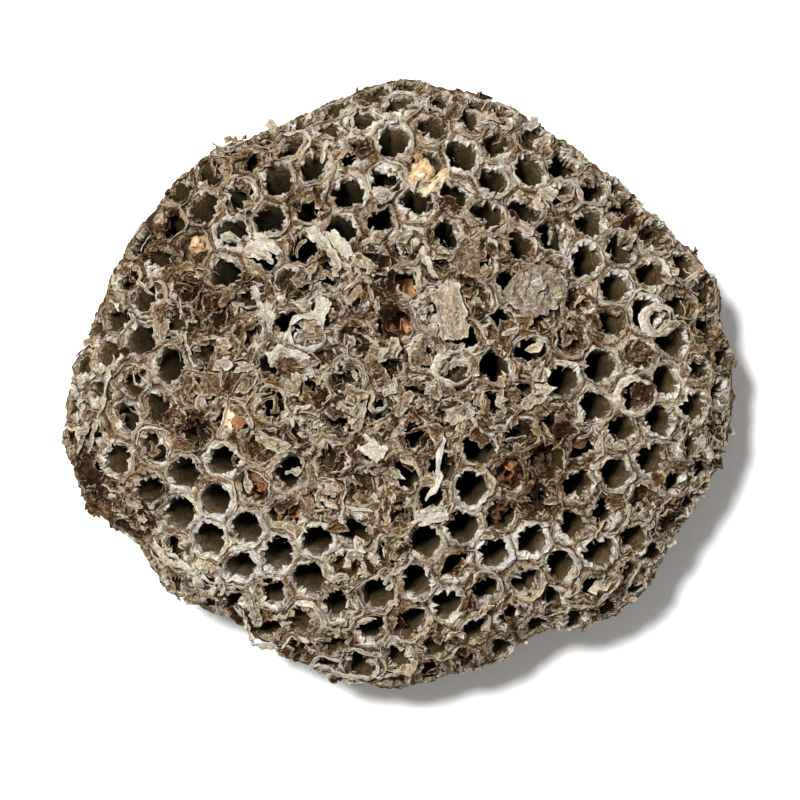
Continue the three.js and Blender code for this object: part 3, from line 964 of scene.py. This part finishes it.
STRIP_STEPS = 11
LAST_STRIP_SHARE = 0.975
for cell in cells.values():
    q, r, kind, middle = cell["q"], cell["r"], cell["kind"], cell["middle"]
    worn = LITTER[kind]
    for number in range(2 + int(2.4 * chance(q, r, 20))):
        draw = [chance(q, r, 21 + 7 * number + k) for k in range(7)]
        turn = 6 * draw[0] + np.linspace(0, 0.7 + 2.0 * draw[1], STRIP_STEPS)
        step = np.mod(turn * STEPS_A_SIDE, AROUND)
        near = np.floor(step).astype(int)
        part = step - near
        border, opening = cell["border"], cell["opening"]
        out = border[near % AROUND] * (1 - part)[:, None] + border[(near + 1) % AROUND] * part[:, None] - middle
        gap = opening[near % AROUND] * (1 - part) + opening[(near + 1) % AROUND] * part
        reach = np.linalg.norm(out, axis=1)
        along = np.linspace(-1, 1, STRIP_STEPS)
        toward = 0.15 + 1.0 * draw[2] + 0.4 * (draw[3] - 0.5) * along
        wide = (0.35 + 0.8 * draw[4] ** 2) * (1 - 0.75 * along ** 4)
        sides = []
        for side in (-0.5, 0.5):
            share = gap + (1 - gap) * toward + side * wide / reach
            lift = cell["lift"] * 0.6 + 0.75 + 0.5 * draw[5] + (0.2 + 1.1 * worn) * along ** 2 * draw[6]
            lift = lift + side * 2.4 * wide * (draw[3] - 0.4)
            plan = middle + out * share[:, None]
            plan *= np.minimum(1.0, LAST_STRIP_SHARE / edge_share(plan))[:, None]
            sides.append(in_comb(plan, 0.0, lift))
        rows = np.stack(sides, axis=1)
        flat = rows.reshape(-1, 3)
        rows = (flat + crumple(flat, 2.3, 41.0) * 0.9 + crumple(flat, 0.8, 42.0) * 0.3).reshape(rows.shape)
        arc = float(reach.mean() * (turn[-1] - turn[0]))
        add_leaf(paper_leaves, rows, 0.14, 0.15 + 0.7 * draw[0], arc, 0.8)


def on_comb(x, y, lift, turn, tilt_along=0.0, tilt_across=0.0):
    """A spot over the comb: its place, and axes that lie on the surface there, turned and tilted."""
    spot, aside, beyond = in_comb(np.array([(x, y), (x + 0.5, y), (x, y + 0.5)]), 0.0)
    up = np.cross(aside - spot, beyond - spot)
    up /= np.linalg.norm(up)
    east = (aside - spot) / np.linalg.norm(aside - spot)
    north = np.cross(up, east)
    along = east * math.cos(turn) + north * math.sin(turn)
    across = np.cross(up, along)
    along = along * math.cos(tilt_along) + up * math.sin(tilt_along)
    across = across * math.cos(tilt_across) + up * math.sin(tilt_across)
    return spot + up * lift, along, across, np.cross(along, across)


def torn_sheet(
    x, y, length, width, turn, tint, seed, lift=0.9, wrinkle=0.5, curl=0.0, tilts=(0.0, 0.0), rim=None,
    leaves=paper_leaves,
):
    """A crumpled sheet lying on the comb at (x, y) in mm, wrinkled along its length, with a torn outline.

    It is oblong, or round with an edge raised by rim mm."""
    n, m = max(9, round(length * 2.2)), max(8, round(width * 2.8))
    s, t = np.meshgrid(np.linspace(-1, 1, n), np.linspace(-1, 1, m), indexing="ij")
    if rim is not None:
        u, v = s * np.sqrt(1 - t * t / 2), t * np.sqrt(1 - s * s / 2)
    else:
        u, v = s * (1 - 0.1 * t * t), t * (1 - 0.12 * s * s)
    ragged = np.array([
        (
            noise.noise(Vector((a * 1.5, b * 1.5, seed))) + 0.6 * noise.noise(Vector((a * 4, b * 4, seed + 3))),
            noise.noise(Vector((a * 1.8, b * 1.8, seed + 9))) + 0.6 * noise.noise(Vector((a * 5, b * 4, seed + 6))),
        )
        for a, b in zip(u.ravel(), v.ravel())
    ]).reshape(n, m, 2)
    u = (u + 0.3 * ragged[..., 0]) * length / 2
    v = (v + 0.4 * ragged[..., 1]) * width / 2
    height = np.array([
        1.3 * noise.noise(Vector((a * 0.2, b * 0.3, seed * 1.3)))
        + 1 - 2.0 * abs(noise.noise(Vector((a * 0.15, b * 0.6, seed * 2.1))))
        - 1.6 * abs(noise.noise(Vector((a * 0.5, b * 0.4, seed * 5.1))))
        + 0.9 * noise.noise(Vector((a * 0.9, b * 1.3, seed * 3.7)))
        for a, b in zip(u.ravel(), v.ravel())
    ]).reshape(n, m)
    height = wrinkle * height + curl * (v / width) ** 2 * 4
    if rim is not None:
        height = height + rim * np.exp(-((np.hypot(u / length, v / width) * 2 - 0.86) / 0.13) ** 2)
    spot, along, across, up = on_comb(x, y, lift, turn, *tilts)
    rows = spot + u[..., None] * along + v[..., None] * across + height[..., None] * up
    add_leaf(leaves, rows, 0.1, tint, length, width)


def torn_ribbon(path, width, tint, seed, lift=1.2, lean=0.4, steps=16):
    """A narrow strip along points (x, y) in mm on the comb, tapering, leaning to one side."""
    path = np.array(path, float)
    at = np.linspace(0, len(path) - 1, steps)
    line = np.column_stack([np.interp(at, np.arange(len(path)), path[:, k]) for k in (0, 1)])
    line = (np.roll(line, 1, axis=0) + 2 * line + np.roll(line, -1, axis=0)) / 4 if path.shape[0] > 6 else line
    ahead = np.gradient(line, axis=0)
    aside = np.column_stack([-ahead[:, 1], ahead[:, 0]]) / np.linalg.norm(ahead, axis=1)[:, None]
    uneven = np.array([noise.noise(Vector((0.6 * k, seed, 4.4))) for k in range(steps)])
    wide = width * (1 - 0.6 * np.linspace(-1, 1, steps) ** 4) * (1 + 1.1 * uneven)
    sides = [
        in_comb(line + side * aside * wide[:, None], 0.0, lift + (side * 2 * lean + (side == 0) * 0.4) * wide)
        for side in (-0.5, 0, 0.5)
    ]
    rows = np.stack(sides, axis=1)
    flat = rows.reshape(-1, 3)
    rows = (flat + crumple(flat, 3.1, seed) * 0.9 + crumple(flat, 1.1, seed) * 0.45).reshape(rows.shape)
    add_leaf(paper_leaves, rows, 0.16, tint, float(np.linalg.norm(ahead, axis=1).sum()), width)


sheet_draw = random.Random(17)
for cell in cells.values():
    if cell["kind"] not in "msck":
        continue
    for number in range(1 + (cell["kind"] == "m")):
        if sheet_draw.random() < (0.9 if cell["kind"] == "m" else 0.35):
            away, turned = sheet_draw.uniform(2.2, 4.6), sheet_draw.uniform(0, 2 * math.pi)
            x = cell["middle"][0] + away * math.cos(turned)
            y = cell["middle"][1] + away * math.sin(turned)
            length = sheet_draw.uniform(3.0, 6.5)
            if edge_share(np.array([(x, y)]))[0] > 0.92:
                continue
            torn_sheet(
                x, y, length, length * sheet_draw.uniform(0.35, 0.7), turned + math.pi / 2 + sheet_draw.gauss(0, 0.5),
                sheet_draw.random(), sheet_draw.uniform(0, 90), 0.6 + sheet_draw.random(), 0.85,
                sheet_draw.uniform(-0.3, 0.6), (sheet_draw.gauss(0, 0.2), sheet_draw.gauss(0, 0.35)),
            )

# Loose strips cross the worn cells every way. Brown rags, torn from linings, hang inside the torn mouths.
for cell in cells.values():
    x, y = cell["middle"]
    for number in range({"m": 4, "c": 2, "s": 2, "k": 2, "h": 1}.get(cell["kind"], 0)):
        turned, heading = sheet_draw.uniform(0, 2 * math.pi), sheet_draw.uniform(0, 2 * math.pi)
        away, bend = sheet_draw.uniform(1.5, 5.0), sheet_draw.gauss(0, 0.5)
        spot = [x + away * math.cos(turned), y + away * math.sin(turned)]
        path = [tuple(spot)]
        for _ in range(3):
            spot[0] += sheet_draw.uniform(0.9, 2.2) * math.cos(heading)
            spot[1] += sheet_draw.uniform(0.9, 2.2) * math.sin(heading)
            heading += bend
            path.append(tuple(spot))
        if edge_share(np.array(path)).max() < 0.955:
            torn_ribbon(
                path, sheet_draw.uniform(0.35, 1.4), 0.95 - 0.8 * sheet_draw.random(), sheet_draw.uniform(0, 90),
                sheet_draw.uniform(0.7, 1.7), sheet_draw.uniform(-0.8, 0.8), 9,
            )
    if cell["kind"] in "hsk" and cell["share"] < 0.93 and sheet_draw.random() < 0.6:
        turned = sheet_draw.uniform(0, 2 * math.pi)
        x, y = x + 2.1 * math.cos(turned), y + 2.1 * math.sin(turned)
        torn_sheet(
            x, y, sheet_draw.uniform(2.5, 4.0), sheet_draw.uniform(1.6, 2.6), turned + math.pi / 2,
            sheet_draw.uniform(0.0, 0.5), sheet_draw.uniform(0, 90), -sheet_draw.uniform(0.8, 3.0), 0.6, 0.4,
            (sheet_draw.gauss(0, 0.2), sheet_draw.uniform(0.2, 0.9)),
        )

# Single sheets that stand out, by their tint: which of the scraps' hues it picks, and how pale.
CREAM = 0.849
TAN = 0.48
NEAR_WHITE = 1.2
GREY = 0.585
MAUVE_GREY = 0.395
BROWN = 0.21
LID_GREY = 0.774
SHEETS = (
    (11.5, 17.6, 12.5, 7.0, 100, CREAM, 2.6, 0.75, 0.5), (-6.6, -13.1, 7.2, 4.2, -35, NEAR_WHITE, 2.2, 0.3, 0.3),
    (7.3, -28.7, 8.4, 3.8, 12, NEAR_WHITE, 1.4, 0.4, 0.5), (13.4, -5.4, 6.4, 3.8, 25, 0.83, 1.5, 0.35, 0.8),
    (16.0, 31.0, 9.0, 6.5, 60, GREY, 1.2, 0.8, 0.2), (4.1, 33.7, 9.0, 6.0, -20, GREY, 1.0, 0.9, 0.2),
    (-13.5, 33.0, 8.0, 2.6, -50, NEAR_WHITE, 1.5, 0.4, 0.7), (-8.0, 29.0, 6.5, 2.4, -30, 0.87, 1.7, 0.4, 0.7),
    (-3.4, 26.4, 8.0, 5.5, 70, BROWN, 1.0, 0.9, 0.2), (-40.5, 6.0, 17.0, 5.5, 66, TAN, 1.2, 0.8, 0.5),
    (-37.2, 4.0, 14.0, 3.6, 60, MAUVE_GREY, 1.4, 0.8, 0.6), (-30.5, 33.5, 7.5, 2.2, -35, NEAR_WHITE, 1.4, 0.5, 0.8),
    (-15.6, -2.3, 9.0, 7.0, 30, BROWN, 0.8, 1.1, 0.0), (3.2, 7.6, 7.0, 5.0, 10, GREY, 1.2, 0.9, 0.2),
    (17.9, -8.7, 8.0, 6.0, -40, MAUVE_GREY, 1.0, 0.6, 0.0), (-9.2, -5.7, 7.0, 2.6, 80, CREAM, 1.8, 0.6, 0.9),
    (-21.0, 26.0, 8.0, 4.0, 20, GREY, 1.0, 0.8, 0.3), (-46.0, 22.0, 8.0, 6.0, 40, BROWN, 0.6, 1.0, 0.0),
    (24.0, 12.0, 8.0, 4.0, 75, MAUVE_GREY, 1.1, 0.7, 0.4), (-29.0, -12.0, 8.0, 3.0, -20, CREAM, 1.4, 0.6, 0.6),
    (55.4, 0.2, 6.0, 5.0, 60, BROWN, 1.6, 0.8, 0.2), (54.6, 8.2, 5.4, 4.6, 10, MAUVE_GREY, 0.2, 0.4, 0.2),
    (38.0, -8.0, 7.0, 4.0, -60, GREY, 1.0, 0.7, 0.3), (30.5, -2.0, 6.0, 3.0, 30, CREAM, 1.5, 0.5, 0.8),
    (-18.0, 18.0, 7.0, 3.5, 70, NEAR_WHITE, 1.2, 0.6, 0.6), (-5.0, 4.0, 8.0, 3.5, 120, TAN, 1.4, 0.8, 0.5),
    (-25.0, 5.0, 7.0, 4.0, -30, MAUVE_GREY, 1.2, 0.8, 0.3), (10.0, 42.0, 7.0, 4.0, 15, BROWN, 0.8, 0.8, 0.2),
)
for number, (x, y, length, width, turned, tint, lift, wrinkle, curl) in enumerate(SHEETS):
    torn_sheet(x, y, length, width, math.radians(turned), tint, 4.0 + number, lift, wrinkle, curl)
# A whole grey lid, loose on its cell, with its raised edge, then a long white strip and curled cream rims.
torn_sheet(31.1, 22.8, 14.0, 13.0, math.radians(20), LID_GREY, 5.0, 2.1, 0.8, rim=0.9)
torn_sheet(30.2, 22.0, 7.0, 5.0, math.radians(70), LID_GREY, 15.0, 2.7, 0.7, rim=0.4)
torn_sheet(-45.8, 30.6, 4.4, 2.8, math.radians(30), MAUVE_GREY, 16.0, 0.9, 0.5)
torn_ribbon([(8.7, -8.5), (9.3, -12.5), (8.4, -17.0), (8.9, -20.5), (5.7, -24.8)], 1.0, NEAR_WHITE, 50.0, 1.8, 0.5)
WHITE_RIDGES = (
    ((-41.1, 34.6), (-37.6, 35.3), (-35.3, 32.1), (-31.2, 31.2), (-29.6, 29.6)),
    ((-33.5, 23.9), (-32.3, 19.7), (-29.8, 16.5), (-29.6, 13.3)),
    ((3.2, 34.6), (6.6, 27.3), (8.5, 23.6)),
    ((-21.3, 36.9), (-18.1, 34.6), (-14.7, 28.9), (-11.5, 27.5)),
    ((-30.2, 6.1), (-27.4, 9.3), (-22.0, 7.5), (-19.8, 3.0)),
)
for number, ridge in enumerate(WHITE_RIDGES):
    torn_ribbon(ridge, 2.2, 1.0, 80.0 + number, 1.2, 0.2, 22)
    torn_ribbon(np.array(ridge) + (0.9, -0.7), 1.1, 0.8, 90.0 + number, 1.5, 0.5, 18)
CURLED_RIMS = (
    (58.9, 16.1, 3.1, 0.97), (58.9, 16.1, 3.9, 0.849), (53.4, -1.4, 4.6, 0.849), (11.8, 4.8, 4.2, 0.86),
    (-20.9, 12.8, 4.2, 0.99),
)
for ring_x, ring_y, ring_radius, ring_tint in CURLED_RIMS:
    circle = [
        (ring_x + ring_radius * math.cos(a), ring_y + ring_radius * 0.9 * math.sin(a))
        for a in np.linspace(0.0, 6.2, 17)
    ]
    torn_ribbon(circle, 1.2, ring_tint, ring_x + ring_radius, 1.9, 0.35, 26)
# Along the lower left edge cream ridges of torn rims run beside a tan rag.
EDGE_STRIPS = (
    (2.4, 0.849, ((-58.3, -34.5), (-54.2, -39.5), (-50.1, -41.5), (-45.2, -45.6), (-41.8, -47.0), (-37.6, -46.3))),
    (1.6, 1.04, ((-60.0, -31.0), (-55.0, -37.0), (-50.5, -39.6), (-46.0, -43.5), (-42.0, -44.8))),
    (2.2, 0.48, ((-53.6, -42.1), (-52.2, -46.3), (-48.7, -49.1), (-45.2, -49.1))),
    (2.2, 0.84, ((-38.3, -50.5), (-35.6, -54.5), (-34.1, -59.4), (-30.7, -59.4), (-27.3, -61.5))),
    (1.8, 0.66, ((-66.0, 8.0), (-68.0, 0.0), (-70.5, -8.0), (-72.0, -14.0))),
    (2.0, 0.849, ((-20.0, -64.0), (-12.0, -66.5), (-5.0, -67.0), (3.0, -65.5))),
)
for number, (width, tint, path) in enumerate(EDGE_STRIPS):
    torn_ribbon(path, width, tint, 100.0 + number, 0.9, 0.4, 26)
# Along the lower left edge rags of dark lining hang down, and below them a curl and a brown clump.
for flap in (
    (-71.5, -19.0, 12.0, 6.0, -62, 0.2, 71.0, 1.2, 0.9), (-68.5, -26.0, 11.0, 7.0, -35, 0.4, 72.0, 1.4, 1.0),
    (-62.0, -31.0, 10.0, 6.0, -25, 0.2, 73.0, 1.5, 0.9), (-56.5, -34.5, 8.0, 4.5, -50, 0.6, 74.0, 1.2, 0.7),
    (-37.0, -51.5, 6.0, 5.0, 20, 0.02, 75.0, 1.0, 1.0), (-45.5, -45.0, 10.0, 3.4, -38, 0.21, 76.0, 1.2, 0.8),
    (-72.5, -24.0, 8.0, 4.0, -70, 0.2, 78.0, 0.4, 0.8), (-66.0, -31.0, 9.0, 3.5, -30, 0.4, 79.0, 0.4, 0.8),
):
    x, y, length, width, turned, tint, seed, lift, wrinkle = flap
    torn_sheet(x, y, length, width, math.radians(turned), tint, seed, lift, wrinkle, 0.3)
torn_ribbon([(-52.5, -36.5), (-54.6, -39.5), (-55.2, -42.6), (-53.9, -43.4)], 1.3, 0.66, 77.0, 0.6, 0.5, 12)
peeled_mesh = make_mesh(
    "peeled_paper", paper_leaves.points, paper_leaves.faces, paper_leaves.uvs,
    {"tint": paper_leaves.tints, "pale": paper_leaves.edges},
)
peeled_mesh.shade_flat()
place("peeled_paper", peeled_mesh, scrap_material, "nest_paper")


# The dried cocoons: what is left of the grubs' spun cases, brown and shrivelled, each stuck to the wall of
# its own tube. Some still have their domed cap and some are torn open to a glossy hollow.
COCOON_TOP = 0.12
COCOON_FLOOR = 0.448
# How hollow each one is, how crumpled, and its tone from dark red-brown (0) over orange to cream (1).
COCOONS = (
    (0.3, 1.4, 0.15), (0.5, 1.2, 0.32), (0.2, 1.5, 0.15), (0.5, 1.3, 0.52),
    (0.4, 1.5, 0.45), (0.3, 1.4, 0.3), (0.6, 1.1, 0.5), (1.0, 0.4, 0.68),
)


def fill_cell(cell, top, floor_depth, hollow, crumpled, rim_share, pit_side=0.0, pit_depth=0.0):
    """A closed filling stuck in a cell's tube, domed (hollow 0) to cupped (hollow 1), with a pit to one side."""
    middle, border = cell["middle"], cell["border"]
    bearing = np.arctan2(*(border - middle).T[::-1])
    pit = pit_depth * np.maximum(0, np.cos(bearing - pit_side)) ** 2
    dip = 0.1 * hollow - 0.045 * (1 - hollow)
    section = (
        (0.3, floor_depth), (0.62, floor_depth), (rim_share - 0.02, floor_depth - 0.03),
        (rim_share, top + 0.15), (rim_share, top + 0.05), (rim_share - 0.02, top), (rim_share - 0.08, top - 0.008),
        (rim_share - 0.16, top + 0.2 * dip), (0.46, top + 0.6 * dip), (0.3, top + 0.9 * dip), (0.14, top + dip),
    )
    points = []
    for row, (share, depth) in enumerate(section):
        ring = in_comb(middle + (border - middle) * share, depth + pit * (6 <= row <= 9))
        loose = min(1.0, max(0.0, (row - 3) / 3)) * crumpled
        ring = ring + crumple(ring, 2.2, 60.0) * 1.3 * loose + crumple(ring, 0.9, 61.0) * 0.5 * loose
        ring[:, 2] += (ridges(ring, 2.0, 62.0) * 0.6 + ridges(ring, 0.9, 63.0) * 0.3) * loose
        points.extend(ring)
    points.append(in_comb(middle, floor_depth)[0])
    points.append(in_comb(middle, top + dip)[0])
    polygons = []
    uvs = []
    for row in range(len(section) - 1):
        for i in range(AROUND):
            j = (i + 1) % AROUND
            polygons.append((row * AROUND + i, row * AROUND + j, (row + 1) * AROUND + j, (row + 1) * AROUND + i))
            uvs.append(((i, 2 * row), (i + 1, 2 * row), (i + 1, 2 * row + 2), (i, 2 * row + 2)))
    last = (len(section) - 1) * AROUND
    for i in range(AROUND):
        j = (i + 1) % AROUND
        polygons.append((j, i, len(points) - 2))
        polygons.append((last + i, last + j, len(points) - 1))
        uvs.extend([((i, 0), (i + 1, 0), (i, 2)), ((i, 22), (i + 1, 22), (i, 24))])
    return points, polygons, uvs


silk_shade = {
    "cocoon": ((0.0, shade("25130a")), (0.3, shade("5f391c")), (0.52, shade("9c6636")), (0.75, shade("c49c68")),
               (1.0, shade("e6d6ba"))),
    "silk": ((0.0, shade("34210f")), (0.25, shade("7a5837")), (0.5, shade("ae8e62")), (0.75, shade("cbb893")),
             (1.0, shade("ddd1b8"))),
}


def silk_finish(name, base, roughness):
    """Dried silk: mottled browns set by the tone mark, fine fibres round it, and a dull gloss."""
    silk = Finish(name, roughness)
    silk.shader.inputs["Specular IOR Level"].default_value = 0.45
    mottle = silk.noise(silk.object_place, (0.5 * A_MM,) * 3, 5.0, 0.65, 0.6)
    speck = silk.noise(silk.object_place, (2.6 * A_MM,) * 3, 5.0, 0.7)
    threads = silk.noise(silk.surface_place, (0.35, 2.2, 1.0), 4.0, 0.7, 0.6)
    value = silk.sum((mottle, 1.1), (speck, 0.5), (threads, 0.6), (silk.mark("tone"), 0.6), base)
    colour = silk.ramp(value, silk_shade[name])
    normal = silk.bump(silk.sum((mottle, 0.5), (threads, 0.6), (speck, 0.4)), 0.0006, 1.0)
    return silk.finish(colour, normal)


cocoon_material = silk_finish("cocoon", -0.95, 0.5)
silk_material = silk_finish("silk", -0.8, 0.7)
cocoon_cells = [cell for cell in cells.values() if cell["kind"] == "k"]
silk_leaves = Leaves()
rag_draw = random.Random(29)
for number, (cell, (hollow, crumpled, tone)) in enumerate(zip(cocoon_cells, COCOONS), 1):
    points, polygons, uvs = fill_cell(cell, COCOON_TOP, COCOON_FLOOR, hollow, crumpled, 0.76)
    mesh = make_mesh(f"cocoon_{number}", points, polygons, uvs, {"tone": [tone] * len(points)})
    place(f"cocoon_{number}", mesh, cocoon_material, "cocoon", f"dried_cocoon_{number}")
    for _ in range(0 if hollow == 1 else 4):
        turned = rag_draw.uniform(0, 2 * math.pi)
        away = rag_draw.uniform(0.6, 2.0)
        length = rag_draw.uniform(2.6, 4.4)
        torn_sheet(
            cell["middle"][0] + away * math.cos(turned), cell["middle"][1] + away * math.sin(turned), length,
            length * rag_draw.uniform(0.5, 0.8), turned + math.pi / 2, tone + rag_draw.uniform(-0.35, 0.3),
            rag_draw.uniform(0, 90), -rag_draw.uniform(1.2, 3.6), 0.7, 0.8,
            (rag_draw.gauss(0, 0.3), rag_draw.uniform(0.1, 0.9)), leaves=silk_leaves,
        )

# A pale shell of cocoon silk stands in the cell at the left, with a folded orange piece beside it.
SHELL_AT = (-39.6, -6.2)
torn_sheet(
    *SHELL_AT, 6.0, 3.2, math.radians(75), 1.35, 3.0, -0.4, 0.15, 1.0, (0.0, 0.5), leaves=silk_leaves,
)
torn_sheet(
    SHELL_AT[0] + 3.2, SHELL_AT[1] - 0.6, 4.6, 3.4, math.radians(40), 0.36, 8.0, -0.2, 0.8, 0.5, (0.1, -0.2),
    leaves=silk_leaves,
)
torn_sheet(40.8, -11.7, 5.0, 3.6, 0.3, 0.1, 31.0, -0.4, 0.8, 0.6, leaves=silk_leaves)
rag_mesh = make_mesh(
    "cocoon_rags", silk_leaves.points, silk_leaves.faces, silk_leaves.uvs, {"tone": silk_leaves.tints},
)
place("cocoon_rags", rag_mesh, cocoon_material, "cocoon")

# The silk plugs: two caps that grubs spun over their cells, cream to orange, stretched over the mouth.
PLUG_TOP = 0.03
PLUG_FLOOR = 0.31
plug_cells = [cell for cell in cells.values() if cell["kind"] == "p"]
PLUG_PITS = ((math.radians(190), 0.16), (math.radians(55), 0.2))
for number, (cell, (pit_side, pit_depth)) in enumerate(zip(plug_cells, PLUG_PITS), 1):
    points, polygons, uvs = fill_cell(cell, PLUG_TOP, PLUG_FLOOR, 0.3, 1.3, 0.79, pit_side, pit_depth)
    out = np.array(points)[:, :2] - cell["middle"]
    outwards = np.linalg.norm(out, axis=1)
    # The tone darkens towards the plug's edge, and in its pit as painted shade in the hollow.
    painted_pit_shade = np.maximum(0, np.cos(np.arctan2(out[:, 1], out[:, 0]) - pit_side)) ** 2 * np.minimum(1, outwards / 1.5)
    mesh = make_mesh(f"plug_{number}", points, polygons, uvs, {"tone": 0.55 - 0.12 * outwards - 0.9 * painted_pit_shade})
    place(f"plug_{number}", mesh, silk_material, "silk", f"silk_plug_{number}")

# Silk torn from the caps lies on them: a tan lump on the left one, and a cream cap over the upper one.
plug_leaves = Leaves()
torn_sheet(-46.9, 33.4, 3.6, 3.4, 0.4, 0.22, 21.0, 0.9, 0.7, -1.4, rim=0.0, leaves=plug_leaves)
torn_sheet(-47.2, 34.2, 2.6, 2.4, 1.4, 0.4, 22.0, 1.3, 0.7, -1.0, rim=0.0, leaves=plug_leaves)
torn_sheet(4.8, 49.3, 7.4, 6.6, 0.9, 0.42, 23.0, 1.4, 0.9, -1.6, rim=0.0, leaves=plug_leaves)
torn_sheet(4.6, 49.4, 2.8, 2.4, 0.3, 0.8, 24.0, 1.6, 0.7, -0.6, rim=0.3, leaves=plug_leaves)
torn_sheet(7.9, 47.4, 8.4, 2.8, 0.75, 0.62, 25.0, 1.9, 0.6, -0.8, leaves=plug_leaves)
torn_sheet(4.2, 53.8, 3.2, 2.2, 1.9, 0.05, 26.0, 1.0, 0.6, 0.0, leaves=plug_leaves)
plug_rags = make_mesh(
    "plug_rags", plug_leaves.points, plug_leaves.faces, plug_leaves.uvs, {"tone": plug_leaves.tints},
)
place("plug_rags", plug_rags, silk_material, "silk")

# The camera looks straight down on the nest from 70 cm above its crown, with the photo's frame.
CAMERA_ABOVE_CROWN = 0.700
FRAME_WIDTH_AT_CROWN = 0.1835
SENSOR_WIDTH = 36.0
FRAME_DROP = 0.0023
camera_data = bpy.data.cameras.new("camera")
camera_data.sensor_width = SENSOR_WIDTH
camera_data.lens = SENSOR_WIDTH * CAMERA_ABOVE_CROWN / FRAME_WIDTH_AT_CROWN
camera_data.clip_start = 0.05
camera = bpy.data.objects.new("camera", camera_data)
camera.location = (0, -FRAME_DROP, CROWN_HEIGHT * MM + CAMERA_ABOVE_CROWN)
scene.collection.objects.link(camera)
scene.camera = camera

# The stage: a wide white floor, a soft key light from the upper left and pale light from all round.
floor_mesh = bpy.data.meshes.new("floor")
FLOOR_HALF = 4.0
floor_mesh.from_pydata(
    [(-FLOOR_HALF, -FLOOR_HALF, 0), (FLOOR_HALF, -FLOOR_HALF, 0), (FLOOR_HALF, FLOOR_HALF, 0),
     (-FLOOR_HALF, FLOOR_HALF, 0)], [], [(0, 1, 2, 3)],
)
floor = bpy.data.objects.new("floor", floor_mesh)
scene.collection.objects.link(floor)
floor_finish = bpy.data.materials.new("floor_white")
floor_finish.use_nodes = True
floor_finish.node_tree.nodes["Principled BSDF"].inputs["Base Color"].default_value = (0.9, 0.9, 0.89, 1)
floor_finish.node_tree.nodes["Principled BSDF"].inputs["Roughness"].default_value = 0.8
floor_mesh.materials.append(floor_finish)


def soft_light(name, watts, size, place_at, aim=(0, 0, 0.03)):
    data = bpy.data.lights.new(name, "AREA")
    data.energy = watts
    data.shape = "DISK"
    data.size = size
    light = bpy.data.objects.new(name, data)
    light.location = place_at
    light.rotation_euler = (Vector(aim) - Vector(place_at)).to_track_quat("-Z", "Y").to_euler()
    scene.collection.objects.link(light)


soft_light("key", 37, 0.3, (-0.38, 0.34, 1.26))
world = bpy.data.worlds.new("studio")
world.use_nodes = True
world.node_tree.nodes["Background"].inputs["Color"].default_value = (1, 0.985, 0.975, 1)
world.node_tree.nodes["Background"].inputs["Strength"].default_value = 0.4
scene.world = world
scene.view_settings.view_transform = "Standard"
